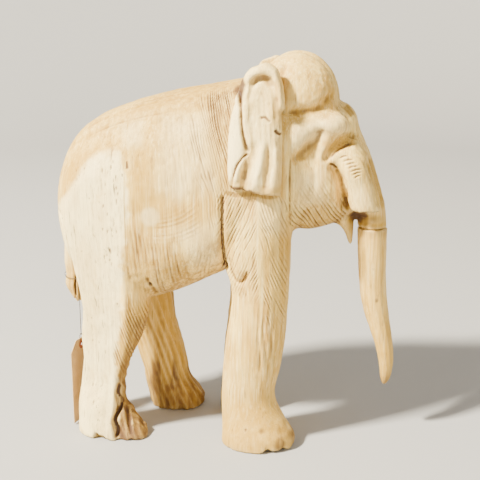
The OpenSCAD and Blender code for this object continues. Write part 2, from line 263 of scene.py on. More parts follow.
THREAD_R = 0.6 * MM
PLY_TURN = 3.2 * MM
PLY_SIDES = 6
THREAD_STEP = 0.35 * MM
NOOSE_KNOT = 2.2 * MM
HITCH_KNOT = 1.5 * MM
# The hitch, as (distance out from the card, height over the middle of its hole)
HITCH = ((0, 1.5), (1.3, 1.6), (2.2, 3.2), (2.3, 8), (1.8, 12), (0, 14))


def ply_tube(points, faces, line, along, twist, turned):
    """One ply round a line: its middle winds about the line as `twist` grows."""
    first = len(points)
    across = np.cross(along[0], (0.31, 0.83, 0.46))
    for place, way, angle in zip(line, along, twist + turned):
        across = across - way * (across @ way)
        across = across / np.linalg.norm(across)
        other = np.cross(way, across)
        heart = place + (across * math.cos(angle) + other * math.sin(angle)) * THREAD_R / 2
        for k in range(PLY_SIDES):
            a = angle + 2 * math.pi * k / PLY_SIDES
            points.append(heart + (across * math.cos(a) + other * math.sin(a)) * THREAD_R / 2)
    last = first + (len(line) - 1) * PLY_SIDES
    for ring in range(first, last, PLY_SIDES):
        for k in range(PLY_SIDES):
            k2 = (k + 1) % PLY_SIDES
            faces.append((ring + k, ring + k2, ring + PLY_SIDES + k2, ring + PLY_SIDES + k))
    faces.append(tuple(range(first + PLY_SIDES - 1, first - 1, -1)))
    faces.append(tuple(range(last, last + PLY_SIDES)))


def smooth_mesh(name, points, faces):
    data = bpy.data.meshes.new(name)
    data.from_pydata(points, [], faces)
    data.polygons.foreach_set("use_smooth", [True] * len(data.polygons))
    return data


def strand(name, *routes):
    """Two-ply twisted thread along one or more routes in metres."""
    points, faces = [], []
    for route in routes:
        route = np.array(route, float)
        gone = np.concatenate([[0], np.cumsum(np.linalg.norm(np.diff(route, axis=0), axis=1))])
        at = np.linspace(0, gone[-1], max(8, int(gone[-1] / THREAD_STEP)))
        line = np.stack([np.interp(at, gone, route[:, k]) for k in range(3)], 1)
        along = np.gradient(line, axis=0)
        along /= np.linalg.norm(along, axis=1)[:, None]
        for turned in (0, math.pi):
            ply_tube(points, faces, line, along, 2 * math.pi * at / PLY_TURN, turned)
    return add_object(name, smooth_mesh(name, points, faces))


def thread_line():
    """Where the hanging thread stands, in x and y."""
    low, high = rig.box("tag_thread")
    return (low.x + high.x) / 2, (low.y + high.y) / 2


def make_thread():
    """The hanging thread: straight down from the knot at the tail to the hitch on the card."""
    low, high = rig.box("tag_thread")
    steps = 24
    route = [(*thread_line(), high.z + (low.z - high.z) * i / steps) for i in range(steps + 1)]
    thread = strand("hanging_thread", route)
    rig.ride(thread, "tag_line")
    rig.replaces(thread, "tag_thread")
    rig.slot(thread, "cotton_thread")
    return thread, route


def plain(name, colour, roughness):
    material = bpy.data.materials.new(name)
    material.use_nodes = True
    shader = material.node_tree.nodes["Principled BSDF"]
    shader.inputs["Base Color"].default_value = (*colour, 1)
    shader.inputs["Roughness"].default_value = roughness
    return material


def make_stage():
    """A round paper floor that sweeps up into a wall on every side."""
    flat, bend, top = 2.4, 1.2, 3.4
    profile = [(0.02, 0), (1.2, 0), (flat, 0)]
    profile += [(flat + bend * math.sin(a), bend - bend * math.cos(a))
                for a in (math.pi / 2 * i / 12 for i in range(1, 13))]
    profile.append((flat + bend, top))
    count = 72
    turns = [2 * math.pi * i / count for i in range(count)]
    points = [(radius * math.cos(a), radius * math.sin(a), height)
              for radius, height in profile for a in turns]
    faces = []
    for ring in range(0, (len(profile) - 1) * count, count):
        for i in range(count):
            a, b = ring + i, ring + (i + 1) % count
            faces.append((a, a + count, b + count, b))
    faces.append(tuple(range(count)))
    floor = add_object("floor", smooth_mesh("floor", points, faces))
    floor.data.materials.append(plain("floor_paper", (0.40, 0.40, 0.41), 0.9))
    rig.stage(floor)
    world = bpy.data.worlds.new("studio")
    bpy.context.scene.world = world
    world.use_nodes = True
    sky = world.node_tree.nodes["Background"]
    sky.inputs["Color"].default_value = (0.60, 0.60, 0.60, 1)
    sky.inputs["Strength"].default_value = 0.25


# Each light's name, place, power, size and colour
LIGHTS = (
    ("key", (-2.9, -2.2, 3.6), 2100, 0.55, (1, 0.91, 0.71)),
    ("fill", (4.2, -3.6, 2.0), 26, 3.5, (1, 0.9, 0.74)),
    ("rear", (1.6, 4.6, 3.4), 130, 3.0, (1, 0.93, 0.84)),
)


def make_lights():
    heart = Vector((0, 0, 0.25))
    for name, place, power, size, colour in LIGHTS:
        data = bpy.data.lights.new(name, "AREA")
        data.energy = power
        data.size = size
        data.color = colour
        aimed(name, data, place, heart - Vector(place))


# ---------------------------------------------------------------- numbers


def ease(t):
    t = np.clip(t, 0, 1)
    return t * t * (3 - 2 * t)


def rise(x, low, high):
    """0 below low, 1 above high, smooth between."""
    return ease((x - low) / (high - low))


def window(x, low, high, soft):
    return rise(x, low - soft, low + soft) * (1 - rise(x, high - soft, high + soft))


def scrambled(cells, seed):
    """A fixed number from 0 to 1 for each row of whole numbers."""
    h = np.full(len(cells), seed * 7919 + 17, np.uint64)
    for k, prime in enumerate((73856093, 19349663, 83492791)):
        if k < cells.shape[1]:
            h ^= (cells[:, k].astype(np.int64) * prime).astype(np.uint64)
            h = (h ^ (h >> np.uint64(15))) * np.uint64(2246822519)
    h ^= h >> np.uint64(13)
    return (h & np.uint64(0xFFFF)).astype(float) / 0xFFFF


def noise(points, size, seed):
    """Smooth lumps of about `size`, from -1 to 1."""
    p = np.atleast_2d(points) / np.asarray(size, float)
    cell = np.floor(p)
    f = ease(p - cell)
    total = np.zeros(len(p))
    axes = p.shape[1]
    for corner in range(2 ** axes):
        bits = np.array([(corner >> k) & 1 for k in range(axes)])
        weight = np.prod(np.where(bits, f, 1 - f), axis=1)
        total += weight * scrambled(cell + bits, seed)
    return total * 2 - 1


def spline(points, step):
    """A smooth line through points, with a point about every `step`."""
    p = np.array(points, float)
    if len(p) == 2:
        count = max(2, int(np.linalg.norm(p[1] - p[0]) / step) + 1)
        return p[0] + (p[1] - p[0]) * np.linspace(0, 1, count)[:, None]
    ends = np.vstack([2 * p[0] - p[1], p, 2 * p[-1] - p[-2]])
    out = []
    for i in range(1, len(ends) - 2):
        a, b, c, d = ends[i - 1:i + 3]
        count = max(1, int(np.linalg.norm(c - b) / step))
        t = (np.arange(count) / count)[:, None]
        out.append((2 * b + (c - a) * t + (2 * a - 5 * b + 4 * c - d) * t ** 2
                    + (3 * b - a - 3 * c + d) * t ** 3) / 2)
    return np.vstack([*out, p[-1:]])


def inside(u, v, corners, soft):
    """1 inside the outline, 0 outside it, smooth over `soft` at the edge."""
    corners = np.array(corners, float)
    odd = np.zeros(len(u), bool)
    gap = np.full(len(u), 1e9)
    for a, b in zip(corners, np.roll(corners, -1, 0)):
        crosses = (a[1] > v) != (b[1] > v)
        reach = (b[0] - a[0]) * (v - a[1]) / (b[1] - a[1] if b[1] != a[1] else 1e-9) + a[0]
        odd ^= crosses & (u < reach)
        along = b - a
        t = np.clip(((u - a[0]) * along[0] + (v - a[1]) * along[1]) / (along @ along), 0, 1)
        gap = np.minimum(gap, np.hypot(u - a[0] - t * along[0], v - a[1] - t * along[1]))
    return rise(np.where(odd, gap, -gap), -soft, soft)


# ---------------------------------------------------------------- clay

# What each view shows: the axis to the right, the axis up, the axis that faces, its sign
VIEWS = {"right": (0, 2, 1, -1), "left": (0, 2, 1, 1), "front": (1, 2, 0, 1),
         "top": (0, 1, 2, 1), "under": (0, 1, 2, -1)}
# The dark paint channel gives real stains in some places and painted shade in others; the pale one gives sapwood in
# some places and painted highlights in others
PAINTS = ("stain", "pale", "warm")
# A mask below this counts as nothing
FAINT = 0.01


def read(items, key, width, kind=np.float32):
    values = np.zeros(len(items) * width, kind)
    items.foreach_get(key, values)
    return values.reshape(-1, width) if width > 1 else values


def applied(piece):
    """A new mesh with the piece's modifiers done."""
    graph = bpy.context.evaluated_depsgraph_get()
    return bpy.data.meshes.new_from_object(piece.evaluated_get(graph))


def biggest_island(mesh):
    """Drops the crumbs that remeshing leaves inside a lump."""
    edges = read(mesh.edges, "vertices", 2, np.int32)
    label = np.arange(len(mesh.vertices))
    while True:
        low = np.minimum(label[edges[:, 0]], label[edges[:, 1]])
        fresh = label.copy()
        np.minimum.at(fresh, edges[:, 0], low)
        np.minimum.at(fresh, edges[:, 1], low)
        fresh = fresh[fresh]
        if (fresh == label).all():
            break
        label = fresh
    names, counts = np.unique(label, return_counts=True)
    crumbs = np.nonzero(label != names[counts.argmax()])[0]
    if len(crumbs):
        work = bmesh.new()
        work.from_mesh(mesh)
        work.verts.ensure_lookup_table()
        bmesh.ops.delete(work, geom=[work.verts[i] for i in crumbs], context="VERTS")
        work.to_mesh(mesh)
        work.free()


def remeshed(piece, voxel):
    remesh = piece.modifiers.new("clay", "REMESH")
    remesh.mode = "VOXEL"
    remesh.voxel_size = voxel * MM
    mesh = applied(piece)
    piece.modifiers.clear()
    biggest_island(mesh)
    piece.data = mesh


def refined(piece, keep):
    """Splits the faces in four where `keep` says so, for the finest cuts."""
    co = read(piece.data.vertices, "co", 3) / MM
    chosen = keep(co)
    work = bmesh.new()
    work.from_mesh(piece.data)
    edges = [e for e in work.edges if chosen[e.verts[0].index] and chosen[e.verts[1].index]]
    bmesh.ops.subdivide_edges(work, edges=edges, cuts=1, use_grid_fill=True)
    work.to_mesh(piece.data)
    work.free()


# Fan, jaw, eye, elbow and knee, where the finest gouge lines are: x from and to, z from and to,
# and how far to the right, and to the left, of the middle plane they begin
FINE_BOXES = ((-38, 20, 222, 470, 22, 22), (90, 168, 284, 352, 22, 22), (132, 184, 352, 420, 22, 22),
              (8, 98, 150, 346, 46, 46), (-150, -88, 84, 206, 22, FAR))


def finely_cut(co):
    x, y, z = co.T
    chosen = np.zeros(len(co), bool)
    for x0, x1, z0, z1, right, left in FINE_BOXES:
        chosen |= (x > x0) & (x < x1) & (z > z0) & (z < z1) & ((y < -right) | (y > left))
    return chosen


def lump(name, nodes, voxel):
    """One closed lump made from copies of CAD nodes."""
    work = bmesh.new()
    for node in nodes:
        work.from_mesh(frame["nodes"][node].data)
    mesh = bpy.data.meshes.new(name)
    work.to_mesh(mesh)
    work.free()
    piece = add_object(name, mesh)
    remeshed(piece, voxel)
    return piece


class Clay:
    """A lump's points, in millimetres, and the brushes that push and paint them."""

    def __init__(self, piece):
        self.piece = piece
        self.co = read(piece.data.vertices, "co", 3).astype(float) / MM
        self.edges = read(piece.data.edges, "vertices", 2, np.int32)
        self.degree = np.bincount(self.edges.ravel(), minlength=len(self.co))[:, None]
        self.paint = {channel: np.zeros(len(self.co)) for channel in PAINTS}
        self.settle()

    def settle(self):
        """Puts the points in the mesh and takes fresh normals."""
        mesh = self.piece.data
        mesh.vertices.foreach_set("co", (self.co * MM).astype(np.float32).ravel())
        mesh.update()
        self.n = read(mesh.vertex_normals, "vector", 3).astype(float)

    def around(self, values):
        """The mean over each point's neighbours."""
        a, b = self.edges.T
        total = np.stack([
            np.bincount(a, values[b, k], len(values)) + np.bincount(b, values[a, k], len(values))
            for k in range(values.shape[1])
        ], axis=1)
        return total / self.degree

    def smooth(self, rounds, weight=1.0):
        weight = np.asarray(weight, float).reshape(-1, 1)
        for _ in range(rounds):
            self.co += (self.around(self.co) - self.co) * 0.5 * weight
        self.settle()

    def push(self, amount):
        """Moves every point out along its normal."""
        self.co += self.n * amount[:, None]

    def shade(self, channel, amount, chosen=slice(None)):
        self.paint[channel][chosen] = np.maximum(self.paint[channel][chosen], amount)

    def turn_to(self, view, low=0.1, high=0.5):
        """Sets the view that the brushes work from, and how much each point faces it."""
        self.view = view
        _, _, axis, sign = VIEWS[view]
        self.seen = rise(self.n[:, axis] * sign, low, high)
        if view in ("right", "left"):
            self.seen = self.seen * (self.co[:, 1] * sign > 0)
        return self.seen

    def both(self, low=0.1, high=0.5):
        """Turns to the right side, then to the left, and yields the sign of y there."""
        for view, sign in SIDES:
            self.turn_to(view, low, high)
            yield sign

    def near(self, line, reach, keep):
        """The points within a line's box, their places in the view, and how much they face it."""
        right, up, axis, sign = VIEWS[self.view]
        at = self.co[:, [right, up]]
        low, high = line.min(0) - reach, line.max(0) + reach
        hit = ((at > low) & (at < high)).all(1) & (self.n[:, axis] * sign > 0.02)
        if self.view in ("right", "left"):
            hit &= self.co[:, 1] * sign > 0
        if keep is not None:
            hit &= keep(self.co)
        chosen = np.nonzero(hit)[0]
        return chosen, at[chosen], rise(self.n[chosen, axis] * sign, 0.02, 0.3)

    def stroke(self, points, width, depth, shape="v", taper=0.2, stain=0, warm=0, keep=None):
        """A cut along a line on the side that the view shows; a negative depth is a ridge.
        `width` is from its middle to its edge; the last numbers say how strongly the dark paint, which gives real
        stains in some places and painted shade in others, and the warm tint go on."""
        line = spline(points, max(width / 2, 2.0))
        chosen, at, seen = self.near(line, width, keep)
        if not len(chosen):
            return
        gap = np.full(len(chosen), 1e9)
        place = np.zeros(len(chosen))
        for i, (a, b) in enumerate(zip(line[:-1], line[1:])):
            t = np.clip((at - a) @ (b - a) / ((b - a) @ (b - a)), 0, 1)
            d = np.hypot(*(at - a - t[:, None] * (b - a)).T)
            closer = d < gap
            gap[closer] = d[closer]
            place[closer] = (i + t[closer]) / (len(line) - 1)
        profile = np.clip(1 - gap / width, 0, 1)
        if shape == "u":
            profile = ease(profile)
        profile = profile * ease(np.minimum(place, 1 - place) / taper + 0.08)
        self.co[chosen] -= self.n[chosen] * (depth * seen * profile)[:, None]
        for channel, strength in (("stain", stain), ("warm", warm)):
            self.shade(channel, strength * seen * ease(profile * 1.6), chosen)

    def swell(self, centre, radii, height, turn=0, stain=0, warm=0, keep=None):
        """A soft oval bump, or a hollow where height is negative; turn is in degrees."""
        centre, radii = np.array(centre, float), np.array(radii, float)
        chosen, at, seen = self.near(centre[None, :], radii.max(), keep)
        c, s = math.cos(math.radians(turn)), math.sin(math.radians(turn))
        d = at - centre
        d = np.stack([d[:, 0] * c + d[:, 1] * s, -d[:, 0] * s + d[:, 1] * c], 1) / radii
        profile = np.clip(1 - (d ** 2).sum(1), 0, 1) ** 2
        self.co[chosen] += self.n[chosen] * (height * seen * profile)[:, None]
        for channel, strength in (("stain", stain), ("warm", warm)):
            self.shade(channel, strength * seen * profile ** 0.5, chosen)

    def region(self, outline, soft):
        """How much each point lies in an outline in x and z and faces the view."""
        return inside(self.co[:, 0], self.co[:, 2], outline, soft) * self.seen

    def patch(self, channel, strength, outline, soft):
        self.shade(channel, strength * self.region(outline, soft))

    def cuts(self, table):
        """Does a table's rows in order; what a row starts with says which brush it is for."""
        for row in table:
            {str: self.patch, list: self.stroke, tuple: self.swell}[type(row[0])](*row)

    def furrows(self, across, mask, spacing, depth, seed, run=40, stain=0.0, wander=1.2,
                broken=0.5, line=False, along=None):
        """Side-by-side cuts. `across` and `along` are each point's place in millimetres. A scoop
        is a U-gouge with a sharp crest on each side, a line is a thin V cut. A cut weakens and
        picks up again about every `run`, the more so the more `broken` they are."""
        along = self.co[:, 2] if along is None else along
        where = np.nonzero(mask > FAINT)[0]
        a, b, m = across[where], along[where], mask[where]
        a = a + wander * noise(np.stack([a, b], 1), (spacing * 5, run * 1.3), seed)
        lane = np.floor(a / spacing)
        off = (a / spacing - lane) * 2 - 1
        lively = noise(np.stack([lane * 3, b + 31 * lane], 1), (1, run), seed + 1)
        strength = np.clip(1 - broken * 0.4 + broken * 1.3 * lively, 0.0, 1)
        if line:
            dark = np.exp(-(off / 0.58) ** 2)
            shape = 0.3 - dark
        else:
            shape = 0.4 - (1 - off ** 2)
            dark = np.clip((1 - off ** 2) * 1.8 - 0.9, 0, 1)
        self.co[where] += self.n[where] * (depth * m * strength * shape)[:, None]
        self.shade("stain", stain * m * strength * dark, where)

    def lines(self, across, mask, spacing, depth, seed, **how):
        """Furrows that are thin V cuts."""
        self.furrows(across, mask, spacing, depth, seed, line=True, **how)

    def dimples(self, mask, size, depth, seed):
        """Small scooped facets, as the tip of a gouge leaves them."""
        where = np.nonzero(mask > FAINT)[0]
        p = self.co[where] / size
        cell = np.floor(p)
        nearest = np.full(len(where), 9.0)
        for dx in (-1, 0, 1):
            for dy in (-1, 0, 1):
                for dz in (-1, 0, 1):
                    corner = cell + (dx, dy, dz)
                    seat = corner + np.stack([scrambled(corner, seed + k) for k in range(3)], 1)
                    nearest = np.minimum(nearest, ((p - seat) ** 2).sum(1))
        cup = np.clip(np.sqrt(nearest), 0, 1) - 0.5
        self.co[where] += self.n[where] * (depth * mask[where] * cup)[:, None]

    def tool_marks(self, size, depth, seed):
        """Small uneven facets all over."""
        self.push(depth * noise(self.co, size, seed) + depth * 0.5 * noise(self.co, size / 2.3, seed + 5))

    def finish(self):
        """Stores hollows, crests and paint as the attributes that the wood reads; the wood paints hollows darker as
        shade, and crests lighter, partly as wear and partly as highlight.
        """
        self.settle()
        fine = ((self.around(self.co) - self.co) * self.n).sum(1)
        broad = self.co.copy()
        for _ in range(14):
            broad += (self.around(broad) - broad) * 0.6
        wide = ((broad - self.co) * self.n).sum(1)
        hollow = np.clip(fine / 0.22, 0, 1) * 0.5 + np.clip(wide / 1.5, 0, 1)
        crest = np.clip(-fine / 0.25, 0, 1) * 0.5 + np.clip(-wide / 1.8, 0, 1) * 0.6
        for name, values in {"hollow": hollow, "crest": crest, **self.paint}.items():
            attribute = self.piece.data.attributes.new(name, "FLOAT", "POINT")
            attribute.data.foreach_set("value", np.clip(values, 0, 1).astype(np.float32))
        return self.piece


def leg_place(clay, leg):
    """How much each point belongs to a leg, and its way round the leg in mm."""
    line, y = LEGS[leg]
    heights, middles = zip(*line)
    x = np.interp(clay.co[:, 2], heights, middles)
    dx, dy = clay.co[:, 0] - x, clay.co[:, 1] - y
    belongs = (np.abs(dx) < LEG_HALF_X) & (np.abs(dy) < LEG_HALF_Y)
    return belongs, np.arctan2(dy, dx) * LEG_RADIUS


def leg_ridges(clay, leg, where, spacing, depth, seed, run, stain, warm):
    """Long ridges down a leg, and where they are."""
    belongs, round_leg = leg_place(clay, leg)
    mask = belongs * where
    clay.furrows(round_leg + 0.1 * clay.co[:, 2], mask, spacing, depth, seed, run, stain)
    clay.shade("warm", warm * mask)
    return mask


# ---------------------------------------------------------------- carving the body

# Rows of the tables. A line: its points, width, depth, shape, taper, dark paint and warmth. A bump or
# hollow: its middle, radii, height, turn, dark paint and warmth. The dark paint gives real stains in
# some rows and painted shade in others. Paint: its channel, strength, outline and softness. Places are
# on the view's two axes; lengths are in millimetres.

SEAM = [(9, 345), (8, 300), (8, 262), (9, 243)]
ELBOW = [(15, 262), (18, 244), (26, 229), (35, 233), (41, 247)]

BACK_SHAPE = (
    ([(-203, 392), (-176, 412), (-140, 430), (-95, 442), (-50, 450), (8, 458)], 13, -2.0, "u", 0.15),
    ([(-190, 380), (-165, 393), (-130, 409), (-90, 421), (-45, 430), (4, 438)], 15, 1.6, "u", 0.15),
)
FLANK_SHAPE = (
    ((-60, 330), (62, 80), -2.0),
    ((-95, 250), (22, 60), -2.0),
    (SEAM, 5, 3.6, "v", 0.08),
    ((8, 246), (7, 9), -6),
)
SHOULDER_SHAPE = (
    ((27, 250), (14, 22), 3.2, 10),
    (ELBOW, 5, 3.2, "u", 0.12),
    ((66, 300), (26, 60), 1.5),
)
HIND_FOOT_SHAPE = (
    (CLEFT, 4.5, 10, "u", 0.3),
    ((-133, 10), (9, 26), -5),
    ([(-144, 90), (-144, 50), (-147, 6)], 6, -2.2, "u"),
    ([(-127, 70), (-125, 40), (-121, 18), (-117, 2)], 5, 3.0, "u"),
)
HEAD_SHAPE = (
    # The dome, its undercut lower edge, and the groove between dome and ear
    ((106, 478), (40, 36), 1.4),
    ([(76, 442), (95, 443), (108, 445), (121, 447), (130, 452), (137, 461), (141, 474)], 12, 5.6,
     "u", 0.26),
    ([(80, 436), (78, 462), (77, 484), (80, 503)], 6, 3.6, "u", 0.1),
    # The temple: a firm cushion from the ear to the brow, which overhangs the eye
    ((150, 429), (26, 20), 5.0),
    ((104, 417), (26, 22), 5.5),
    ((128, 428), (22, 12), 2.0),
    # The hollow under it that runs down and back across the cheek
    ([(132, 426), (126, 419), (119, 409), (110, 398), (103, 390), (92, 386)], 11, 6.0, "u", 0.14),
    ([(132, 412), (124, 400), (116, 390), (104, 380)], 19, 3.4, "u"),
    ([(137, 404), (131, 392), (126, 380)], 9, -1.6, "u", 0.3),
    # The eye socket, under the brow, and the ball of the closed eye in it
    ([(173, 413), (162, 410), (152, 406), (143, 399), (137, 391), (136, 380)], 10, 8.5, "u", 0.14),
    ((158, 411), (15, 7), 3.4, 24),
    ([(172, 406), (162, 403), (151, 398), (144, 392)], 3.4, 2.2, "u", 0.25),
    ((118, 350), (30, 34), 3.0),
    # The tusk sheath: proud of the jaw, with a firm rear edge
    ((168, 372), (24, 26), 3.2, -20),
    ([(138, 380), (146, 372), (152, 360), (155, 346), (157, 331), (161, 314)], 9, 6.5, "u", 0.1),
    ([(184, 386), (192, 366), (198, 346), (203, 322)], 8, 3.5, "u", 0.15),
)
# Under the sheath, and the ledge where the trunk begins
LIP_SHAPE = (
    ((176, 301), (18, 12), -7),
    ([(168, 293), (190, 293), (216, 293)], 7, 2.2, "u", 0.05),
)


def carve_rump(clay):
    """The split-off plane on the haunch, the channel for the tail, and the ridge of the back."""
    x, y, z = clay.co.T
    for side in clay.both():
        lower = np.clip((300 - z) / 160, 0, 1)
        plane = 86.5 - 0.27 * np.clip(-118 - x, 0, None) - 13 * lower
        over = np.clip(y * side - plane, 0, None)
        reach = window(x, -230, -124, 5) * window(z, 60, 420, 20)
        clay.co[:, 1] -= side * over * reach * 0.9
        clay.cuts(BACK_SHAPE)
        clay.stroke([(-222, 306), (-214, 300), (-206, 270), (-201, 240), (-194, 205)], 5, 5, "u", 0.1,
                    keep=lambda co: co[:, 0] < -185)
    clay.settle()


def carve_hind_feet(clay):
    """The deep cleft between the heel slab and the toes of the near hind foot, and its knee."""
    x, y, z = clay.co.T
    toes = rise(x, -132, -104) * (1 - rise(z, 16, 66)) * (y < -14)
    clay.co[:, 0] += 5 * toes
    clay.co[:, 1] -= 9 * toes
    clay.co[:, 2] = np.where(z > 6, z - 5 * toes * rise(z, 6, 24), z)
    clay.settle()
    clay.turn_to("right")
    clay.cuts(HIND_FOOT_SHAPE)
    clay.turn_to("left")
    clay.stroke([(-88, 80), (-84, 50), (-78, 22), (-76, 4)], 8, 5, "u")
    clay.turn_to("front")
    clay.swell((-50, 60), (26, 40), -2.5, keep=lambda co: co[:, 0] < -90)
    clay.settle()


def carve_head(clay):
    x, y, z = clay.co.T
    for view, line, width, depth in (
            ("front", [(0, 512), (0, 480), (0, 452)], 22, 6),
            ("top", [(60, 0), (95, 0), (130, 0)], 20, 5)):
        clay.turn_to(view)
        clay.stroke(line, width, depth, "u", 0.3, keep=lambda co: co[:, 0] > 60)
    for side in clay.both():
        clay.cuts(HEAD_SHAPE)
        lip = window(z, 262, 292, 6) * window(x, 138, 164, 4) * (y * side > 0)
        clay.co[:, 0] += 4.5 * lip * (1 - rise(x, 146, 166))
        clay.cuts(LIP_SHAPE)
    clay.settle()


def coarse_carving(clay):
    carve_rump(clay)
    for table in (FLANK_SHAPE, SHOULDER_SHAPE):
        for _ in clay.both():
            clay.cuts(table)
        clay.settle()
    carve_hind_feet(clay)
    carve_head(clay)
    clay.smooth(2, 0.6)


# ---------------------------------------------------------------- fine cuts and paint

BACK_EDGE = [(-200, 390), (-172, 406), (-138, 422), (-94, 435), (-48, 444), (8, 452)]

FLANK_DETAIL = (
    ("pale", 0.4, [(-54, 300), (0, 310), (0, 250), (-30, 250)], 12),
    ("pale", 0.4, [(-126, 424), (-96, 434), (-92, 400), (-118, 398)], 8),
    ("stain", 0.14, [(-104, 336), (-20, 326), (-20, 306), (-104, 302)], 9),
    ("warm", 0.5, [(-104, 350), (-60, 340), (-22, 322), (-6, 350), (10, 330), (0, 300), (-60, 300),
                   (-100, 300)], 12),
    ((-79, 433), (8, 7), 0.6, 0, 0, 0.9),
    ((-86, 350), (9, 9), 0.4, 0, 0, 0.9),
    ([(-113, 382), (-112, 372)], 2.6, 0.8, "v", 0.2, 0.75),
    ([(-106, 391), (-106, 369)], 1.6, 0.5, "v", 0.2, 0.35),
    # Painted shadow on the wood behind the ear's hollow and under its hem
    ("stain", 0.95, [(16, 466), (22, 490), (40, 492), (40, 466), (30, 452)], 4),
    ([(6, 349), (24, 344), (46, 345), (66, 341), (82, 342)], 5, 0.4, "u", 0.2, 0.5, 0.8),
    # The dark seam in front of the flank, its hole, and the knot hole
    (SEAM, 2.6, 1.6, "v", 0.08, 0.9),
    ((8, 247), (6, 8), -1.0, 0, 1.0),
    ((-89, 218), (3.6, 4.6), -3.0, 25, 1.0),
    ([(-92, 232), (-91, 222), (-86, 210), (-84, 196)], 5, 1.2, "u", 0.2, 0.45, 0.8),
    ([(-100, 193), (-78, 193), (-40, 205), (-6, 226)], 6, 0.5, "u", 0.2, 0.55),
    (BACK_EDGE, 7, 0.5, "u", 0.2, 0.14, 0.7),
    (BACK_EDGE[1:5], 2.2, 0.5, "u", 0.3, 0.12),
    ("warm", 0.7, [(-212, 330), (-196, 384), (-160, 404), (-120, 410), (-116, 394), (-160, 384),
                   (-190, 350)], 6),
)
FACE_DETAIL = (
    # Shadow and grime in the creases
    ([(84, 443), (95, 443), (108, 445), (121, 447), (130, 452)], 6, 0.3, "u", 0.2, 0.2, 0.8),
    ([(130, 452), (137, 461), (142, 474)], 5, 0.3, "u", 0.2, 0.15, 0.6),
    ([(129, 423), (122, 413), (114, 403), (106, 392), (95, 388)], 11, 0.3, "u", 0.2, 0.1, 0.7),
    ([(118, 408), (112, 400), (106, 392)], 7, 0.2, "u", 0.2, 0.16),
    ([(170, 411), (160, 409), (150, 404), (142, 397), (136, 390)], 10, 0.2, "u", 0.2, 0.1, 0.9),
    ([(168, 405), (158, 401), (150, 397), (143, 392), (139, 386)], 2.4, 1.2, "v", 0.2, 0.55),
)
SHEATH_DETAIL = (
    # A painted highlight on the temple's cushion
    ("pale", 0.55, [(92, 428), (150, 440), (160, 422), (130, 412), (92, 400)], 8),
    ("pale", 0.3, [(160, 366), (180, 362), (198, 324), (168, 324)], 5),
    # Brown down the front edge of the sheath, where it turns away, partly stains and partly painted shade
    ([(186, 384), (195, 362), (203, 338), (209, 312)], 7, 0.4, "u", 0.2, 0.3, 1.0),
    ([(154, 448), (160, 442), (165, 434)], 5, 0.6, "u", 0.2, 0.35, 1.0),
)
SOLE_DETAIL = (
    ((39, 31), (3, 3), -0.6, 0, 0.8),
    ((60, 30), (6, 5), -0.4, 0, 0.55),
    ((84, 26), (12, 14), 0.2, 0, 0.45, 1.0),
)


def cut_rump(clay):
    """Paler bare sapwood on the haunch and down the outer hind leg, with upright checks."""
    x, _, z = clay.co.T
    wobble = 4 * noise(clay.co, (30, 30, 9), 31) + 2.5 * noise(clay.co, 4, 32)
    edge = np.interp(z, [0, 65, 114, 145, 173, 248, 275, 301, 333, 365, 400],
                     [-136, -138, -140, -132, -127, -122, -117, -112, -111, -117, -124])
    top = np.interp(x, [-215, -188, -165, -144, -120], [318, 350, 380, 390, 393])
    for side in clay.both(0.15, 0.6):
        pale = rise(edge - x + wobble, -4, 5) * rise(top - z + wobble, -6, 8) * clay.seen
        pale *= (z > 176) | (side < 0) | (x < -138)
        clay.shade("pale", pale)
        clay.furrows(x, pale * rise(z, 0, 20), 6.5, 0.5, 41 + side, 60, 0.06)
        clay.shade("warm", 0.5 * (window(z - top, -12, 8, 5) * window(x, -215, -112, 6) * clay.seen))
    rng = np.random.default_rng(7)
    checks = [(-134, 401, 22), (-130, 362, 9), (-126, 336, 12), (-131, 306, 10), (-138, 270, 12),
              (-128, 295, 7), (-143, 262, 7), (-150, 330, 6), (-147, 296, 6), (-127, 352, 7)]
    checks += [(rng.uniform(-146, -122), rng.uniform(250, 400), rng.uniform(4, 10)) for _ in range(16)]
    checks += [(rng.uniform(-190, -140), rng.uniform(20, 380), rng.uniform(3, 8)) for _ in range(18)]
    for _ in clay.both():
        for cx, cz, length in checks:
            lean = rng.uniform(-0.8, 0.8)
            clay.stroke([(cx - lean, cz), (cx, cz - length / 2), (cx + lean, cz - length)],
                        rng.uniform(1.2, 1.8), rng.uniform(0.4, 0.9), "v", 0.5, rng.uniform(0.15, 0.5))
        # Yellow knots
        for cx, cz in ((-141, 252), (-133, 192), (-173, 134)):
            clay.swell((cx, cz), (5, 7), 0.5, 0, 0.12, 1.0)
            clay.swell((cx + 1, cz), (1.8, 2.6), -0.6, 0, 0.5)


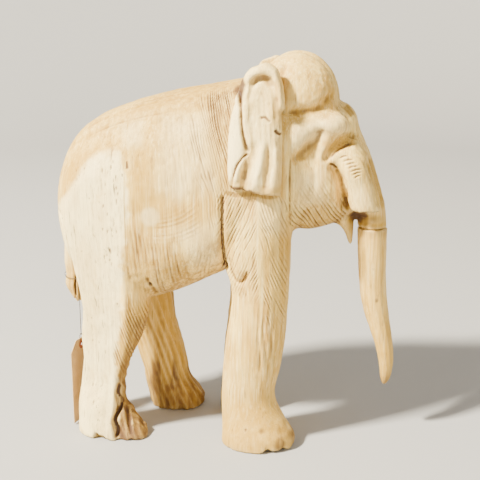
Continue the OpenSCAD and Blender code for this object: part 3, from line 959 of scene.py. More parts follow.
def cut_flank(clay):
    x, y, z = clay.co.T
    for side in clay.both():
        seed = 60 + side * 3
        # A fan of V cuts behind the ear, leaning back at the top
        slant = x + 0.3 * z + 0.0006 * (z - 400) ** 2
        fan = clay.region([(-30, 462), (16, 468), (19, 360), (8, 330), (2, 352), (-14, 400)], 6)
        deep = rise(x + 0.36 * (z - 400), -10, 12)
        clay.lines(slant, fan * (0.4 + 0.6 * deep), 3.2, 1.5, seed, run=36, stain=0.95, wander=3,
                   broken=0.4)
        clay.shade("stain", 0.42 * fan * deep * rise(z, 365, 430))
        clay.shade("warm", 0.6 * fan)
        low = clay.region([(-34, 440), (-12, 412), (6, 350), (6, 300), (-6, 302), (-16, 340), (-34, 392)],
                          6) * (1 - fan)
        clay.lines(slant, low, 3.6, 0.9, seed + 1, run=22, stain=0.5, wander=3, broken=0.65)
        high = clay.region([(-72, 436), (-34, 446), (-30, 350), (-70, 330)], 12)
        clay.furrows(x + 0.16 * z, high, 7, 0.6, seed + 2, 50, 0.14)
        # Growth rings cut open, round a pale disc
        ring = np.hypot((x + 82) * 0.9, z - 373)
        rings = clay.region([(-70, 322), (-30, 336), (-20, 304), (-34, 284), (-84, 280)], 8)
        clay.furrows(ring, rings, 5.5, 0.55, seed + 3, 70, 0.2, 1.6, 0.8, along=x)
        clay.shade("pale", 0.6 * rise(-np.hypot(x + 83, z - 313), -15, -9) * clay.seen)
        bright = clay.region([(-70, 434), (-14, 436), (0, 350), (-50, 334), (-74, 350)], 14)
        clay.shade("pale", 0.62 * bright * (0.7 + 0.3 * noise(clay.co, (22, 22, 40), 74)))
        # Upright gouges over the groin, and the warm patch above them
        groin = clay.region([(-114, 300), (-76, 276), (-46, 268), (-38, 232), (-72, 206), (-98, 200),
                             (-118, 230)], 9)
        clay.furrows(x + 0.07 * z, groin, 5.0, 1.0, seed + 4, 50, 0.42, 1.8, 0.7)
        clay.shade("warm", 0.5 * groin)
        belly = clay.region([(-26, 268), (-6, 256), (2, 238), (-28, 224)], 6)
        clay.lines(x - 0.25 * z, belly, 4.4, 0.8, seed + 5, run=30, stain=0.26)
        patch = clay.region([(-112, 412), (-84, 412), (-78, 340), (-84, 318), (-108, 312), (-108, 360)], 9)
        streaky = 0.5 + 0.5 * noise(clay.co, (4, 4, 50), 71)
        clay.shade("warm", patch * (0.7 + 0.3 * streaky))
        clay.shade("stain", 0.3 * patch * streaky)
        clay.cuts(FLANK_DETAIL)
    back = clay.turn_to("top", 0.2, 0.8) * window(x, -215, 30, 10)
    clay.furrows(y, back, 9, 0.5, 77, 90, 0.1, along=x)
    clay.shade("warm", back * (0.55 + 0.4 * rise(noise(clay.co, (40, 14, 40), 78), 0.0, 0.7)))
    clay.shade("stain", 0.26 * back)
    # Painted shade on the undersides of the body
    clay.shade("stain", 0.5 * clay.turn_to("under", 0.3, 0.9) * (z > 150))


def cut_foreleg(clay):
    """Herringbone of fine gouges meeting down the middle of the leg, longer ridges below."""
    x, _, z = clay.co.T
    for side in clay.both():
        seen, seed = clay.seen, 90 + side * 3
        centre = np.interp(z, [100, 156, 209, 262, 333], [66, 63, 58, 54, 53])
        upper = window(z, 168, 345, 16) * window(x, 2, 96, 4) * seen
        rear, fore = upper * rise(centre - x, 0, 5) * rise(z, 196, 226), upper * rise(x - centre, 0, 5)
        for k, (slope, half) in enumerate(((-0.4, rear), (0.34, fore))):
            clay.lines(0.9 * x + slope * z, half, 3.4, 1.0, seed + k, run=16, stain=0.34, wander=2,
                       broken=0.9)
        lower = window(z, 84, 200, 20) * window(x, -2, 96, 4) * seen
        clay.furrows(x - 0.08 * z, lower * rise(x, 30, 54), 6.2, 0.8, seed + 2, 60, 0.16)
        clay.furrows(x + 0.1 * z, lower * rise(-x, -54, -30), 5.4, 0.35, seed + 3, 30, 0.08)
        for cx in (58, 66, 74):
            clay.stroke([(cx - 6, 182), (cx - 3, 140), (cx + 1, 96)], 3.4, 0.9, "u", 0.4, 0.1)
        clay.stroke(ELBOW, 2.4, 1.0, "v", 0.15, 0.35, 0.4)
        clay.shade("warm", 0.75 * (1 - rise(z, 30, 90)) * seen * window(x, -2, 110, 4))
        clay.shade("warm", 0.6 * window(z, 120, 330, 30) * seen * window(x, 2, 96, 4)
                   * rise(noise(clay.co, (16, 16, 60), seed), -0.3, 0.6))
        clay.patch("pale", 0.35, [(50, 335), (84, 335), (86, 290), (60, 300)], 8)


def cut_neck(clay):
    """Long slanting gouges on the jaw and down the edge of the neck."""
    x, _, z = clay.co.T
    for side in clay.both():
        jaw = clay.region([(90, 300), (92, 345), (112, 356), (140, 362), (156, 340), (162, 312),
                           (150, 296), (116, 282)], 6)
        clay.lines(0.87 * x + 0.5 * z, jaw * (0.35 + 0.65 * rise(-z, -340, -306)), 4.4, 1.8,
                   120 + side * 3, run=24, stain=0.5, broken=0.7)
        clay.shade("warm", 0.55 * jaw * rise(-z, -330, -296))
        clay.patch("pale", 0.4, [(96, 372), (132, 372), (134, 330), (100, 326)], 10)
        clay.stroke([(92, 392), (91, 366), (91, 330), (92, 296)], 2.4, 1.4, "v", 0.1, 0.35)


def cut_face(clay):
    x, y, z = clay.co.T
    for side in clay.both():
        clay.dimples(clay.region([(84, 446), (80, 500), (110, 512), (138, 494), (140, 466), (124, 450)], 6),
                     6.5, 0.8, 130)
        clay.dimples(clay.region([(92, 392), (86, 440), (130, 446), (168, 438), (166, 420), (134, 412)], 6),
                     8, 0.7, 131)
        clay.cuts(FACE_DETAIL)
        clay.dimples(clay.region([(140, 398), (150, 412), (172, 418), (170, 404), (150, 396)], 3),
                     4, 1.2, 132)
        clay.stroke([(137, 380), (141, 379), (145, 376), (149, 372)], 2.4, 1.6, "v", 0.3, 0.8)
        # Short wrinkles over the tusk sheath
        for i, reach in enumerate((13, 17, 19, 17, 19, 15, 10)):
            x0, z0 = 149 + 3.3 * i, 386 - 3.9 * i
            clay.stroke([(x0, z0), (x0 + reach * 0.5, z0 + 3.6), (x0 + reach, z0 + 4.2)],
                        1.9, 1.1 + 0.02 * reach, "v", 0.4, 0.34 + 0.01 * reach)
        clay.stroke([(146, 374), (152, 361), (155, 346), (158, 331), (163, 312)], 4, 1.2, "v", 0.08, 0.3,
                    0.9)
        clay.shade("warm", window(z, 262, 304, 6) * window(x, 160, 220, 5))
        # Painted shadow under the flat end of the sheath, and darker brown in the hollow beneath it
        clay.shade("stain", 0.4 * window(z, 284, 302, 5) * window(x, 164, 196, 5) * clay.seen)
        sheath_end_shadow = window(z, 300, 321, 3) * window(x, 156, 212, 4) * rise(-clay.n[:, 2], 0.2, 0.6)
        clay.shade("stain", sheath_end_shadow)
        clay.swell((175, 301), (13, 9), 0, 0, 1.0, 1.0)
        clay.swell((193, 303), (16, 8), 0, 0, 0.5, 1.0)
        clay.furrows(0.95 * x + 0.3 * z, clay.region([(158, 366), (180, 362), (204, 322), (166, 322)], 5),
                     5.5, 0.7, 140 + side, 30, 0.12)
        clay.cuts(SHEATH_DETAIL)
    front = clay.turn_to("front", 0.2, 0.7) * (x > 120)
    clay.furrows(y, front * window(z, 290, 480, 10), 7, 0.6, 150, 60, 0.15)


def cut_hind_legs(clay):
    x, y, z = clay.co.T
    # Near leg: steep gouges on its brown front half
    belongs, _ = leg_place(clay, "hind_right")
    edge = np.interp(z, [0, 65, 114, 145, 173, 210], [-136, -138, -144, -137, -124, -112])
    front = rise(x - edge, -4, 6) * belongs * rise(-z, -205, -170)
    clay.lines(0.95 * x + 0.30 * z + 0.22 * y, front * rise(z, 84, 116), 3.6, 1.25, 170, run=34,
               stain=0.62, broken=0.6)
    toes = front * (1 - rise(z, 84, 120)) * rise(z, 2, 18)
    clay.furrows(x + 0.3 * z + 0.14 * y, toes, 8, 2.2, 171, 40, 0.85, 2.6)
    clay.shade("warm", front)
    # The front of the leg is brown; the faces that turn forward, away from the light, are painted darker as shade, and
    # the toes darker still, partly as stains and partly as painted shade
    turned = rise(clay.n[:, 0], 0.35, 0.8)
    clay.shade("stain", front * (0.3 + 0.35 * turned) * window(z, -10, 172, 12))
    clay.shade("stain", front * (1 - rise(z, 64, 110)) * (0.82 + 0.18 * noise(clay.co, (9, 9, 24), 172)))
    clay.turn_to("right")
    # Painted shadow down the deep cleft and in the hollow at its foot
    clay.stroke(CLEFT, 3.6, 2.0, "u", 0.15, 1.0)
    clay.swell((-133, 12), (8, 24), -0.5, 0, 0.95)
    clay.stroke([(-124, 50), (-121, 25), (-117, 4)], 3, 1, "u", 0.2, 0.7)
    # Far leg: long ridges, brown blotches
    far = leg_ridges(clay, "hind_left", rise(-z, -200, -170) * (y > 8), 11, 1.4, 180, 70, 0.4, 0.9)
    blotch = rise(noise(clay.co, (13, 13, 30), 181), -0.1, 0.6)
    inner = 1 - 0.75 * rise(clay.n[:, 1], 0, 0.5)
    clay.shade("stain", 0.9 * far * blotch * inner * rise(-z, -150, -50) * rise(x, -128, -112))
    clay.shade("stain", 0.7 * far * (1 - rise(z, 10, 84)))
    clay.stroke([(-95, 186), (-93, 166), (-90, 130), (-87, 104)], 5, 0.6, "u", 0.2, 0.7,
                keep=lambda co: co[:, 1] > 8)
    leg_ridges(clay, "fore_left", rise(-z, -215, -180) * (y > 8), 9, 0.9, 190, 60, 0.3, 0.6)
    for leg in ("hind_right", "fore_right"):
        inner = rise(-z, -200, -170) * rise(clay.n[:, 1], 0.1, 0.5) * (y < -4)
        leg_ridges(clay, leg, inner, 8, 0.9, 195, 60, 0.3, 0.7)


def chip_soles(clay):
    """Broken edges round each sole, and end grain darker towards the bottom."""
    x, y, z = clay.co.T
    for k, (line, leg_y) in enumerate(LEGS.values()):
        dx, dy = x - line[0][1], y - leg_y
        round_leg = np.arctan2(dy, dx)
        belongs = (np.abs(dx) < 64) & (np.abs(dy) < LEG_HALF_Y) & (z < 30)
        ring = np.stack([np.cos(round_leg), np.sin(round_leg)], 1) * 40
        rough = np.clip(0.15 + 0.8 * noise(ring, 14, 200 + k) + 0.45 * noise(ring, 6, 210 + k), 0, 1.1)
        rim = rise(np.hypot(dx / 48, dy / 35), 0.72, 0.95)
        clay.co[:, 2] += np.where(belongs, 7.5 * rough * rim * (1 - rise(z, 0, 22)), 0)
        inward = np.where(belongs, 2.2 * rough * rim * (1 - rise(z, 4, 24)), 0)
        clay.co[:, 0] -= inward * np.sign(dx) * np.abs(np.cos(round_leg))
        clay.co[:, 1] -= inward * np.sign(dy) * np.abs(np.sin(round_leg))
        toe = belongs * rise(dx, 16, 38) * (1 - rise(z, 18, 30))
        clay.shade("warm", toe)
        clay.shade("stain", 0.7 * toe * rise(noise(clay.co, 11, 220 + k), -0.5, 0.5))
        clay.shade("stain", np.where(belongs, 0.3 * (1 - rise(z, 3, 12)), 0))
    clay.turn_to("right")
    clay.cuts(SOLE_DETAIL)
    clay.co[:, 2] = np.maximum(clay.co[:, 2], 0)


def fine_carving(clay):
    clay.tool_marks(16, 0.55, 11)
    clay.settle()
    for job in (cut_rump, cut_flank, cut_foreleg, cut_neck, cut_face, cut_hind_legs, chip_soles):
        job(clay)
        clay.settle()


# ---------------------------------------------------------------- sawing the lump into blocks


def prism(name, outline, y_low, y_high):
    """An outline in x and z, drawn through the elephant from y_low to y_high, as a cutter."""
    work = bmesh.new()
    near = [work.verts.new((x * MM, y_low * MM, z * MM)) for x, z in outline]
    far = [work.verts.new((x * MM, y_high * MM, z * MM)) for x, z in outline]
    work.faces.new(near)
    work.faces.new(far[::-1])
    for i in range(len(outline)):
        j = (i + 1) % len(outline)
        work.faces.new((near[j], near[i], far[i], far[j]))
    bmesh.ops.recalc_face_normals(work, faces=work.faces)
    mesh = bpy.data.meshes.new(name)
    work.to_mesh(mesh)
    work.free()
    return add_object(name, mesh)


def cut(piece, cutter):
    """Keeps what of the piece lies in the cutter."""
    boolean = piece.modifiers.new("cut", "BOOLEAN")
    boolean.operation = "INTERSECT"
    boolean.object = cutter
    boolean.solver = "MANIFOLD"
    mesh = applied(piece)
    piece.modifiers.clear()
    piece.data = mesh


def block_outlines():
    """The outline in x and z of each block, short of the glue on every joint plane."""
    g = GLUE
    hind = [(-FAR, UNDER), (PARTING_X, UNDER), (PARTING_X, HIND_TOP), (HIND_X - g, HIND_TOP),
            (HIND_X - g, FAR), (-FAR, FAR)]
    barrel = [(HIND_X + g, HIND_TOP + 2 * g), (PARTING_X, HIND_TOP + 2 * g),
              (PARTING_X, FORE_TOP + 2 * g), (FORE_X - g, FORE_TOP + 2 * g), (FORE_X - g, FAR),
              (HIND_X + g, FAR)]
    fore = [(PARTING_X, UNDER), (FORE_FRONT, UNDER), (FORE_FRONT, FORE_TOP), (NECK_X - g, FORE_TOP),
            (NECK_X - g, DOME_Z), (DOME_X - g, DOME_Z), (DOME_X - g, FAR), (FORE_X + g, FAR),
            (FORE_X + g, FORE_TOP), (PARTING_X, FORE_TOP)]
    head = [(NECK_X + g, FORE_TOP), (FAR, FORE_TOP), (FAR, FAR), (DOME_X + g, FAR),
            (DOME_X + g, DOME_Z + 2 * g), (NECK_X + g, DOME_Z + 2 * g)]
    right, left, whole = (-FAR, -g), (g, FAR), (-FAR, FAR)
    return dict(zip(BLOCKS, ((hind, right), (hind, left), (barrel, whole), (fore, right), (fore, left),
                             (head, whole))))


def saw_blocks(body):
    """Each block as a piece of its own, cut from a copy of the carved body."""
    pieces = {}
    for node, (outline, (y_low, y_high)) in block_outlines().items():
        piece = add_object(node + "_carved", body.data.copy())
        cutter = prism("saw", outline, y_low, y_high)
        cut(piece, cutter)
        bpy.data.objects.remove(cutter)
        pieces[node] = piece
    bpy.data.objects.remove(body)
    return pieces


def smooth_shaded(piece):
    piece.data.polygons.foreach_set("use_smooth", [True] * len(piece.data.polygons))
    piece.data.set_sharp_from_angle(angle=math.radians(SHARP_DEGREES))


# ---------------------------------------------------------------- trunk, ears, tail


TRUNK_DETAIL = (
    ((203, 193), (3.2, 4.2), 0.5, 0, 0.75),
    ((197, 236), (2.4, 3), 0.3, 0, 0.4),
    ([(184, 270), (186, 230), (192, 180), (201, 140)], 5, 0.8, "u", 0.2, 0, 0.4),
)
EAR_FOLDS = (
    # The panel: hollow at its top, bellied along the crease
    ((58, 455), (15, 30), -3.0),
    ([(41, 464), (39, 440), (42, 418), (46, 402)], 7, -2.4, "u"),
    ([(74, 470), (73, 450), (74, 430)], 5, 1.2, "u", 0.3),
    # Folds that widen downwards
    ([(51, 414), (46, 395), (40, 377), (34, 358)], 9, 3.2, "u"),
    ([(66, 416), (67, 390), (64, 366), (61, 344)], 7.5, 3.4, "u"),
    ([(60, 408), (57, 386), (52, 366), (48, 350)], 7, -3.0, "u", 0.16),
    ([(76, 408), (75, 380), (73, 350)], 6, -1.8, "u", 0.16),
    ([(38, 394), (30, 378), (26, 360)], 4, -2.0, "u", 0.16),
)
EAR_DETAIL = (
    ([(41, 398), (33, 389), (27, 380), (22, 364)], 1.8, 0.6, "v", 0.2, 0.55),
    # Painted shade under the rim, and on the band beside the dome where the panel turns away
    ([(41, 476), (45, 482), (50, 486), (57, 486), (64, 481), (70, 475)], 6, 0.2, "u", 0.2, 0.1, 0.9),
    ([(76, 488), (76, 470), (76, 450), (77, 428)], 8, 0.3, "u", 0.2, 0.2, 0.8),
    ([(54, 439), (61, 440), (68, 434)], 3, 1.6, "u", 0.2, 0.5),
    ([(73, 426), (77, 421), (82, 419)], 3.6, 2.0, "u", 0.2, 0.75),
    ("warm", 0.55, [(60, 474), (74, 474), (80, 430), (62, 424)], 6),
    # Painted shade in the recesses of the folds
    ([(51, 406), (46, 392), (40, 376), (34, 360)], 8, 0.1, "u", 0.2, 0.05, 0.6),
    ([(67, 404), (67, 384), (64, 362), (61, 348)], 6, 0.1, "u", 0.2, 0.06, 0.4),
    # Painted highlights on the leaf and on the facet between the folds
    ("pale", 0.85, [(10, 350), (12, 450), (20, 476), (30, 462), (37, 405), (26, 372)], 3),
    ("pale", 0.6, [(54, 404), (62, 398), (58, 350), (38, 352)], 4),
)


def blank(node, voxel, rounds, weight):
    """The clay for a part that is carved on its own, a little smoothed."""
    clay = Clay(lump(f"{node}_carved", [node], voxel))
    clay.smooth(rounds, weight)
    return clay


def make_trunk():
    """Scraped smooth, with faint flats down its length, knots, and a worn dark tip."""
    clay = blank("trunk", LIMB_VOXEL, 4, 0.8)
    x, y, z = clay.co.T
    axis = np.interp(z, [69, 95, 131, 187, 256, 288], [217, 219, 214, 200, 194.5, 194])
    turn = np.arctan2(y, x - axis)
    clay.furrows(turn * 17, 0.9 * rise(-z, -284, -276), 8.5, 0.5, 300, 90, 0.05)
    clay.tool_marks(13, 0.3, 301)
    clay.settle()
    for _ in clay.both():
        clay.cuts(TRUNK_DETAIL)
    clay.turn_to("front")
    clay.swell((6, 160), (3, 4), 0.4, 0, 0.5)
    clay.shade("stain", np.maximum(0.62 * (1 - rise(z, 70, 112)), 0.4 * rise(z, 270, 284)))
    clay.shade("warm", 0.95 * (1 - rise(z, 80, 190))
               + 0.35 * rise(noise(clay.co, (9, 9, 50), 302), -0.2, 0.7))
    return clay.finish()


def lowest(x, z, step=3):
    """The height of the lower edge over each point's x."""
    bins = ((x - x.min()) / step).astype(int)
    edge = np.full(bins.max() + 1, 1e9)
    np.minimum.at(edge, bins, z)
    return edge[bins]


def make_ear(view, side):
    """A panel with drapery folds under a rolled rim, and a pointed leaf behind it."""
    clay = blank(f"ear_{view}", LIMB_VOXEL, 3, 0.7)
    # The leaf stands a little further back than its blank
    x, y, z = clay.co.T
    clay.co[:, 0] -= 4 * (1 - rise(x, 18, 32)) * window(z, 352, 462, 12)
    clay.co[:, 0] = np.where(x > 66, 66 + (x - 66) * 0.6, x)
    clay.settle()
    # Between leaf and panel: a long crease that opens into a deep hollow at the top
    clay.turn_to(view)
    clay.stroke([(26, 472), (29, 461), (31, 448), (33, 429), (37, 410), (41, 397)], 3.6, 4.6, "u", 0.1)
    notch = inside(x, z, [(19, 472), (21, 488), (32, 488), (37, 478), (34, 464), (30, 454), (26, 462)], 5)
    clay.co[:, 1] -= side * 9 * notch
    clay.settle()
    clay.stroke([(41, 398), (33, 389), (27, 380), (22, 364), (19, 350)], 2.6, 2.6, "v", 0.08)
    # The rolled rim, undercut along its lower edge; its front end melts into the panel
    clay.stroke([(38, 470), (42, 479), (49, 485), (57, 486), (65, 480), (72, 468)], 6.5, 3.0, "u", 0.25)
    clay.smooth(14, rise(x, 64, 73) * window(z, 420, 486, 8))
    clay.smooth(8, window(x, 18, 42, 5) * window(z, 462, 492, 6))
    clay.cuts(EAR_FOLDS)
    clay.settle()
    clay.smooth(1, 0.5)
    # A torn lower edge
    hem = np.interp(x, [10, 19, 27, 42, 52, 62, 75, 81, 86, 94],
                    [354, 350, 349, 351, 348, 345, 343, 346, 352, 356])
    hem = hem + 2.0 * noise(np.stack([x, y], 1), 5, 330)
    clay.co[:, 2] = np.where(z < hem, hem + (z - hem) * 0.15, z)
    clay.tool_marks(10, 0.4, 331 + side)
    clay.settle()
    clay.turn_to(view)
    clay.furrows(x + 0.1 * z, clay.region([(40, 470), (74, 470), (82, 352), (34, 352)], 8), 6,
                 0.5, 340 + side, 30, 0.08)
    clay.stroke([(29, 466), (30, 455), (32, 438), (35, 419), (41, 397)], 2.2, 0.5, "v", 0.2, 0.42)
    # Painted shadow in the deep hollow at the top of the crease
    notch = inside(x, z, [(19, 472), (21, 488), (31, 487), (36, 478), (33, 464), (30, 454), (26, 462)], 3)
    clay.shade("stain", notch)
    clay.cuts(EAR_DETAIL)
    clay.shade("pale", 0.25 * clay.seen)
    # Painted shadow along the torn lower edge, strongest towards the back
    low_edge = lowest(x, z)
    hem_shadow = window(z - low_edge - 2.4 * noise(clay.co, 7, 351), -20, 4.4, 2)
    clay.shade("stain", hem_shadow * (1 - 0.6 * rise(x, 40, 60)))
    clay.shade("warm", window(z - low_edge, -20, 13, 4))
    return clay.finish()


def make_tail():
    """A broad slab with a channel beside it, split at its ragged tip."""
    clay = blank("tail", TAIL_VOXEL, 2, 0.6)
    for _ in clay.both():
        clay.stroke([(-213, 300), (-209, 270), (-206, 240), (-205, 215)], 4, 1.6, "u")
        clay.stroke([(-206, 212), (-208, 196), (-209, 176)], 2.2, 2.4, "v", 0.1, 0.9)
    clay.tool_marks(9, 0.4, 360)
    x, y, z = clay.co.T
    turn = np.arctan2(y, x + 213)
    clay.furrows(turn * 12, rise(z, 165, 180), 6, 0.6, 361, 50, 0.25)
    tip = 1 - rise(z, 168, 190)
    clay.co[:, 2] += tip * 4 * noise(np.stack([x, y], 1), 3.5, 362)
    clay.co[:, 2] = np.maximum(clay.co[:, 2], 166)
    clay.settle()
    clay.shade("pale", 0.4 * rise(z, 200, 240))
    clay.shade("warm", 0.4 * (1 - rise(z, 200, 250)))
    clay.shade("stain", 0.25 * rise(noise(clay.co, (10, 10, 30), 363), 0.1, 0.8))
    return clay.finish()


# ---------------------------------------------------------------- materials


class Shade:
    """Builds one material's nodes with few words."""

    def __init__(self, name):
        self.material = bpy.data.materials.new(name)
        self.material.use_nodes = True
        self.tree = self.material.node_tree
        self.shader = self.tree.nodes["Principled BSDF"]
        self.place = self.node("ShaderNodeTexCoord").outputs["Object"]

    def put(self, socket, value):
        if isinstance(value, bpy.types.NodeSocket):
            self.tree.links.new(value, socket)
        elif isinstance(value, tuple) and len(value) == 3 and socket.type == "RGBA":
            socket.default_value = (*value, 1)
        else:
            socket.default_value = value

    def node(self, kind, inputs=None, **settings):
        node = self.tree.nodes.new(kind)
        for key, value in settings.items():
            setattr(node, key, value)
        for key, value in (inputs or {}).items():
            self.put(node.inputs[key], value)
        return node

    def noise(self, scale, detail=2.0, roughness=0.5, warp=0.0):
        """Noise with its own scale, in lumps a metre, along each axis."""
        spread = self.node("ShaderNodeVectorMath", {0: self.place, 1: scale}, operation="MULTIPLY")
        made = self.node("ShaderNodeTexNoise", {
            "Vector": spread.outputs[0], "Scale": 1.0, "Detail": detail, "Roughness": roughness,
            "Distortion": warp})
        return made.outputs["Fac"]

    def ramp(self, value, low, high, bottom=0.0, top=1.0):
        made = self.node("ShaderNodeMapRange", {
            "Value": value, "From Min": low, "From Max": high, "To Min": bottom, "To Max": top},
            interpolation_type="SMOOTHSTEP")
        return made.outputs["Result"]

    def math(self, operation, a, b=0.0):
        made = self.node("ShaderNodeMath", {0: a, 1: b}, operation=operation, use_clamp=False)
        return made.outputs[0]

    def times(self, a, b):
        return self.math("MULTIPLY", a, b)

    def plus(self, a, b):
        return self.math("ADD", a, b)

    def mix(self, amount, a, b):
        made = self.node("ShaderNodeMix", {0: amount, 6: a, 7: b}, data_type="RGBA")
        return made.outputs[2]

    def attribute(self, name):
        return self.node("ShaderNodeAttribute", attribute_name=name).outputs["Fac"]

    def done(self, colour, roughness, height, distance, strength=1.0):
        self.put(self.shader.inputs["Base Color"], colour)
        self.put(self.shader.inputs["Roughness"], roughness)
        bump = self.node("ShaderNodeBump", {"Height": height, "Distance": distance,
                                            "Strength": strength})
        self.put(self.shader.inputs["Normal"], bump.outputs["Normal"])
        return self.material


CREAM = (0.86, 0.60, 0.16)
TAN = (0.45, 0.255, 0.042)
# Sapwood, which also serves as the colour of painted highlights
SAPWOOD_AND_HIGHLIGHT = (0.97, 0.82, 0.43)
OCHRE = (0.52, 0.30, 0.026)
BROWN = (0.12, 0.050, 0.012)
DARK = (0.04, 0.013, 0.003)


def wood(name, light, dark, checks=0.0, gloss=0.72):
    """Bare upright-grain wood: fibres, streaks, blotches, then the attributes of the carving: painted shade in its
    hollows, crests lighter as wear and painted highlight, and the brushes' stains, painted shade and painted
    highlights.
    """
    s = Shade(name)
    fibre = s.noise((900, 900, 26), 3, 0.6)
    streak = s.noise((150, 150, 7), 4, 0.6, 0.3)
    thread = s.noise((420, 420, 16), 3, 0.6, 0.2)
    blotch = s.noise((26, 26, 12), 3, 0.55)
    broad = s.noise((9, 9, 5), 2)
    hollow, crest = s.attribute("hollow"), s.attribute("crest")
    stain, pale, warm = (s.attribute(channel) for channel in PAINTS)
    tone = s.plus(s.times(streak, 0.55), s.times(blotch, 0.45))
    fleck = s.times(s.ramp(s.noise((260, 260, 48), 2, 0.5), 0.62, 0.7), 0.4)
    grime = s.times(s.ramp(s.noise((75, 75, 40), 4, 0.7), 0.52, 0.74), 0.3)
    # Painted shade in the hollows, added to the brushes' stains and painted shade
    shade_and_stains = s.plus(s.times(hollow, 0.55), s.times(stain, s.ramp(streak, 0.3, 0.65, 0.55, 1.0)))
    # Each layer's strength and its tint, from the bare wood up
    layers = (
        (s.ramp(tone, 0.4, 0.62), dark),
        (s.times(s.ramp(broad, 0.42, 0.66), 0.42), OCHRE),
        (s.times(s.ramp(thread, 0.52, 0.68), 0.6), dark),
        (s.times(s.ramp(thread, 0.47, 0.36), 0.35), SAPWOOD_AND_HIGHLIGHT),
        (s.times(warm, s.ramp(tone, 0.25, 0.6, 0.5, 1.0)), OCHRE),
        (s.times(pale, s.ramp(blotch, 0.3, 0.7, 0.92, 0.62)), SAPWOOD_AND_HIGHLIGHT),
        (s.times(fleck, s.ramp(thread, 0.4, 0.6)), BROWN),
        (s.times(s.ramp(fibre, 0.5, 0.78), 0.34), BROWN),
        (grime, OCHRE),
        # Crests lighter, partly as wear and partly as painted highlight
        (s.times(crest, 0.35), SAPWOOD_AND_HIGHLIGHT),
        # Stains and painted shade: brown, and near black where they are strongest
        (s.ramp(shade_and_stains, 0.02, 0.95, 0.0, 0.92), BROWN),
        (s.ramp(s.plus(stain, s.times(hollow, 0.3)), 0.75, 1.2, 0.0, 0.8), DARK),
    )
    colour = light
    for strength, tint in layers:
        colour = s.mix(strength, colour, tint)
    height = s.plus(s.times(fibre, 0.4), s.times(thread, 0.6))
    if checks:
        split = s.noise((620, 620, 30), 1, 0.4, 0.4)
        patch = s.ramp(s.noise((38, 38, 16), 1), 0.47, 0.58)
        cracks = s.times(s.times(s.ramp(split, 0.67, 0.71), patch), s.times(pale, checks))
        colour = s.mix(cracks, colour, DARK)
        height = s.plus(height, s.times(cracks, -1.5))
    rough = s.ramp(streak, 0.2, 0.8, gloss - 0.08, gloss + 0.12)
    return s.done(colour, rough, height, 1.0 * MM, 0.6)


def turned_wood():
    """Dowels: straight darker grain with a little machine polish."""
    s = Shade("dowel_beech")
    grain = s.noise((500, 500, 60), 3)
    fleck = s.noise((1500, 1500, 300), 1)
    colour = s.mix(s.ramp(grain, 0.35, 0.7), (0.62, 0.40, 0.21), (0.48, 0.28, 0.13))
    colour = s.mix(s.times(s.ramp(fleck, 0.6, 0.75), 0.4), colour, BROWN)
    return s.done(colour, 0.55, grain, 0.2 * MM, 0.3)


def thread_cotton():
    """Dark twisted cotton: two plies that wind round each other, and fuzz."""
    s = Shade("thread_cotton")
    x, y, z = (s.node("ShaderNodeSeparateXYZ", {0: s.place}).outputs[k] for k in range(3))
    ply = s.math("SINE", s.plus(s.times(z, 4200), s.times(s.plus(x, y), 2600)))
    fuzz = s.noise((3000, 3000, 900), 2)
    colour = s.mix(s.ramp(ply, -0.8, 0.8), (0.035, 0.026, 0.02), (0.12, 0.09, 0.065))
    colour = s.mix(s.times(s.ramp(fuzz, 0.5, 0.8), 0.4), colour, (0.3, 0.24, 0.18))
    return s.done(colour, 0.85, s.plus(ply, fuzz), 0.15 * MM, 0.6)


def fibrous(name, fibre, cloud, light, dark, fleck, roughness, bump):
    """Pressed fibres over cloudy tones; `fibre` and `cloud` are what their noises take."""
    s = Shade(name)
    fibres = s.noise(*fibre)
    colour = s.mix(s.ramp(s.noise(*cloud), 0.3, 0.7), light, dark)
    colour = s.mix(s.times(s.ramp(fibres, 0.55, 0.75), 0.35), colour, fleck)
    return s.done(colour, roughness, fibres, 0.08 * MM, bump)


# ---------------------------------------------------------------- the tag


def barrel_knot(centre, axis, half, radius, turns):
    """The route of a barrel knot: turns of thread side by side round its own axis."""
    t = np.linspace(0, 1, 16 * turns + 1)
    angle = 2 * math.pi * turns * t
    reach = (radius - THREAD_R) * (0.5 + 0.5 * np.sin(math.pi * t) ** 0.5)
    a, b, along = reach * np.cos(angle), reach * np.sin(angle), (2 * t - 1) * (half - THREAD_R)
    order = {"y": (a, along, b), "z": (a, b, along)}[axis]
    return np.array(centre) + np.stack(order, 1)


def make_noose(cotton):
    """A loose loop of thread round the tail, dipping to the knot that the tag hangs from."""
    low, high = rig.box("thread_loop")
    x, y = thread_line()
    knot = np.array((x, y, low.z + NOOSE_KNOT))
    inner = knot[1] + 2 * THREAD_R
    centre = np.array(((low.x + high.x) / 2, (high.y - THREAD_R + inner) / 2))
    half = np.array(((high.x - low.x) / 2 - THREAD_R, (high.y - THREAD_R - inner) / 2))
    top = high.z - THREAD_R
    ring = []
    for degrees in range(-22, 253, 12):
        a = math.radians(degrees)
        near = 1 - rise(abs(degrees - 114), 60, 140)
        place = centre + half * (math.cos(a), math.sin(a))
        ring.append((*place, top - (1 - near) * (top - knot[2]) * 0.8))
    noose = strand("thread_noose", spline([knot, *ring, knot], 0.6 * MM),
                   barrel_knot(knot, "y", NOOSE_KNOT, NOOSE_KNOT, 3))
    dress(noose, "thread_loop", cotton, "cotton_thread")


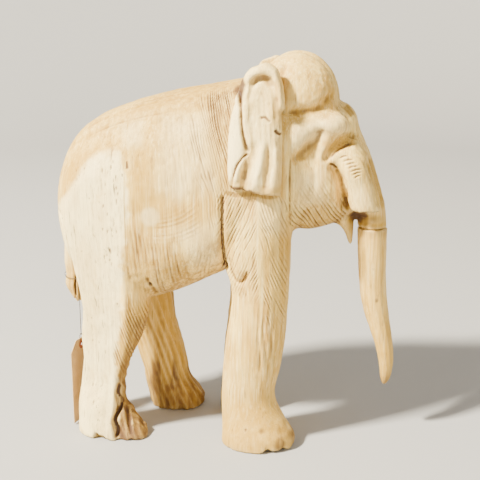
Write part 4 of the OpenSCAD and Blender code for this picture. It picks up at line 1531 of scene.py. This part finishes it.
def make_hitch(cotton):
    """The thread's doubled end through the hole in the card, under an upright barrel knot."""
    low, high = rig.box("tag_hitch")
    x, y = thread_line()
    card = frame["nodes"]["tag_card"].data
    out = np.array(max(card.polygons, key=lambda face: face.area).normal)
    hole_z = low.z + THREAD_R - HITCH[0][1] * MM
    rising = [np.array((x, y, hole_z + up * MM)) + out * away * MM for away, up in HITCH]
    falling = [np.array((x, y, hole_z + up * MM)) - out * away * MM for away, up in HITCH[::-1]]
    loop = spline([*rising, *falling[1:]], 0.5 * MM)
    knot = (x, y, high.z - HITCH_KNOT)
    hitch = strand("thread_hitch", loop, barrel_knot(knot, "z", HITCH_KNOT, HITCH_KNOT, 2))
    dress(hitch, "tag_hitch", cotton, "cotton_thread", "tag")
    return hitch


def make_tag():
    """The card and the rings round its hole are the CAD's own; only their materials are made."""
    card = fibrous("card_manila", ((2200, 2200, 420), 3, 0.6, 1.5), ((60, 60, 60), 3),
                   (0.58, 0.44, 0.27), (0.49, 0.36, 0.21), (0.76, 0.62, 0.42), 0.8, 0.4)
    fibre = fibrous("patch_fibre", ((2600, 2600, 2600), 3, 0.7), ((300, 300, 300), 2),
                    (0.36, 0.11, 0.06), (0.26, 0.075, 0.04), (0.5, 0.22, 0.15), 0.75, 0.5)
    coat(frame["nodes"]["tag_card"], card, "manila_card")
    coat(frame["nodes"]["tag_patches"], fibre, "red_fibre")


# ---------------------------------------------------------------- putting it together


def coat(piece, material, slot):
    piece.data.materials.clear()
    piece.data.materials.append(material)
    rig.slot(piece, slot)


def dress(piece, node, material, slot, body="elephant"):
    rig.ride(piece, body)
    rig.replaces(piece, node)
    coat(piece, material, slot)


def carved_body():
    """The six blocks, carved as one lump and sawn apart."""
    body = lump("body", BLOCKS, COARSE_VOXEL)
    clay = Clay(body)
    clay.smooth(6, 0.8)
    coarse_carving(clay)
    remeshed(body, QUICK_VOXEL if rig.quick() else FINE_VOXEL)
    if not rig.quick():
        refined(body, finely_cut)
    clay = Clay(body)
    clay.smooth(1, 0.6)
    fine_carving(clay)
    clay.finish()
    return saw_blocks(body)


def main():
    make_camera()
    thread, route = make_thread()
    make_stage()
    make_lights()

    pieces = {**carved_body(), "trunk": make_trunk()}
    for view, side in SIDES:
        pieces[f"ear_{view}"] = make_ear(view, side)
    pieces["tail"] = make_tail()
    cream = wood("cream_wood", (0.88, 0.64, 0.19), (0.58, 0.34, 0.065)), "cream_wood"
    looks = {
        "hindquarter": (wood("sapwood_rump", CREAM, TAN, checks=0.9), "weathered_sapwood"),
        "barrel": (wood("tan_flank", CREAM, TAN), "tan_flank_wood"),
        "forequarter": cream,
        "head": cream,
        "trunk": (wood("straw_trunk", (0.84, 0.56, 0.135), (0.56, 0.32, 0.05), gloss=0.6), "straw_wood"),
        "ear": (wood("ear_wood", (0.88, 0.69, 0.27), (0.64, 0.43, 0.12), gloss=0.66), "ear_wood"),
        "tail": cream,
    }
    for node, piece in pieces.items():
        smooth_shaded(piece)
        dress(piece, node, *looks[node.split("_")[0]])
    beech = turned_wood()
    for name in DOWELS:
        coat(frame["nodes"][name], beech, "dowel_wood")

    cotton = thread_cotton()
    thread.data.materials.append(cotton)
    make_noose(cotton)
    hitch = make_hitch(cotton)
    make_tag()

    low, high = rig.box("tag_thread")
    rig.cord(thread, exit=route[0], length=high.z - low.z, diameter=2 * THREAD_R, path=route,
            far_end="knot", stiffness="limp", lay="hanging",
            with_pieces=[hitch, frame["nodes"]["tag_card"], frame["nodes"]["tag_patches"]])


main()
look_low, look_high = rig.bounds()
with open("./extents.json", "w") as size_file:
    json.dump({"cad": [list(cad_low), list(cad_high)], "visual": [list(look_low), list(look_high)]},
              size_file)
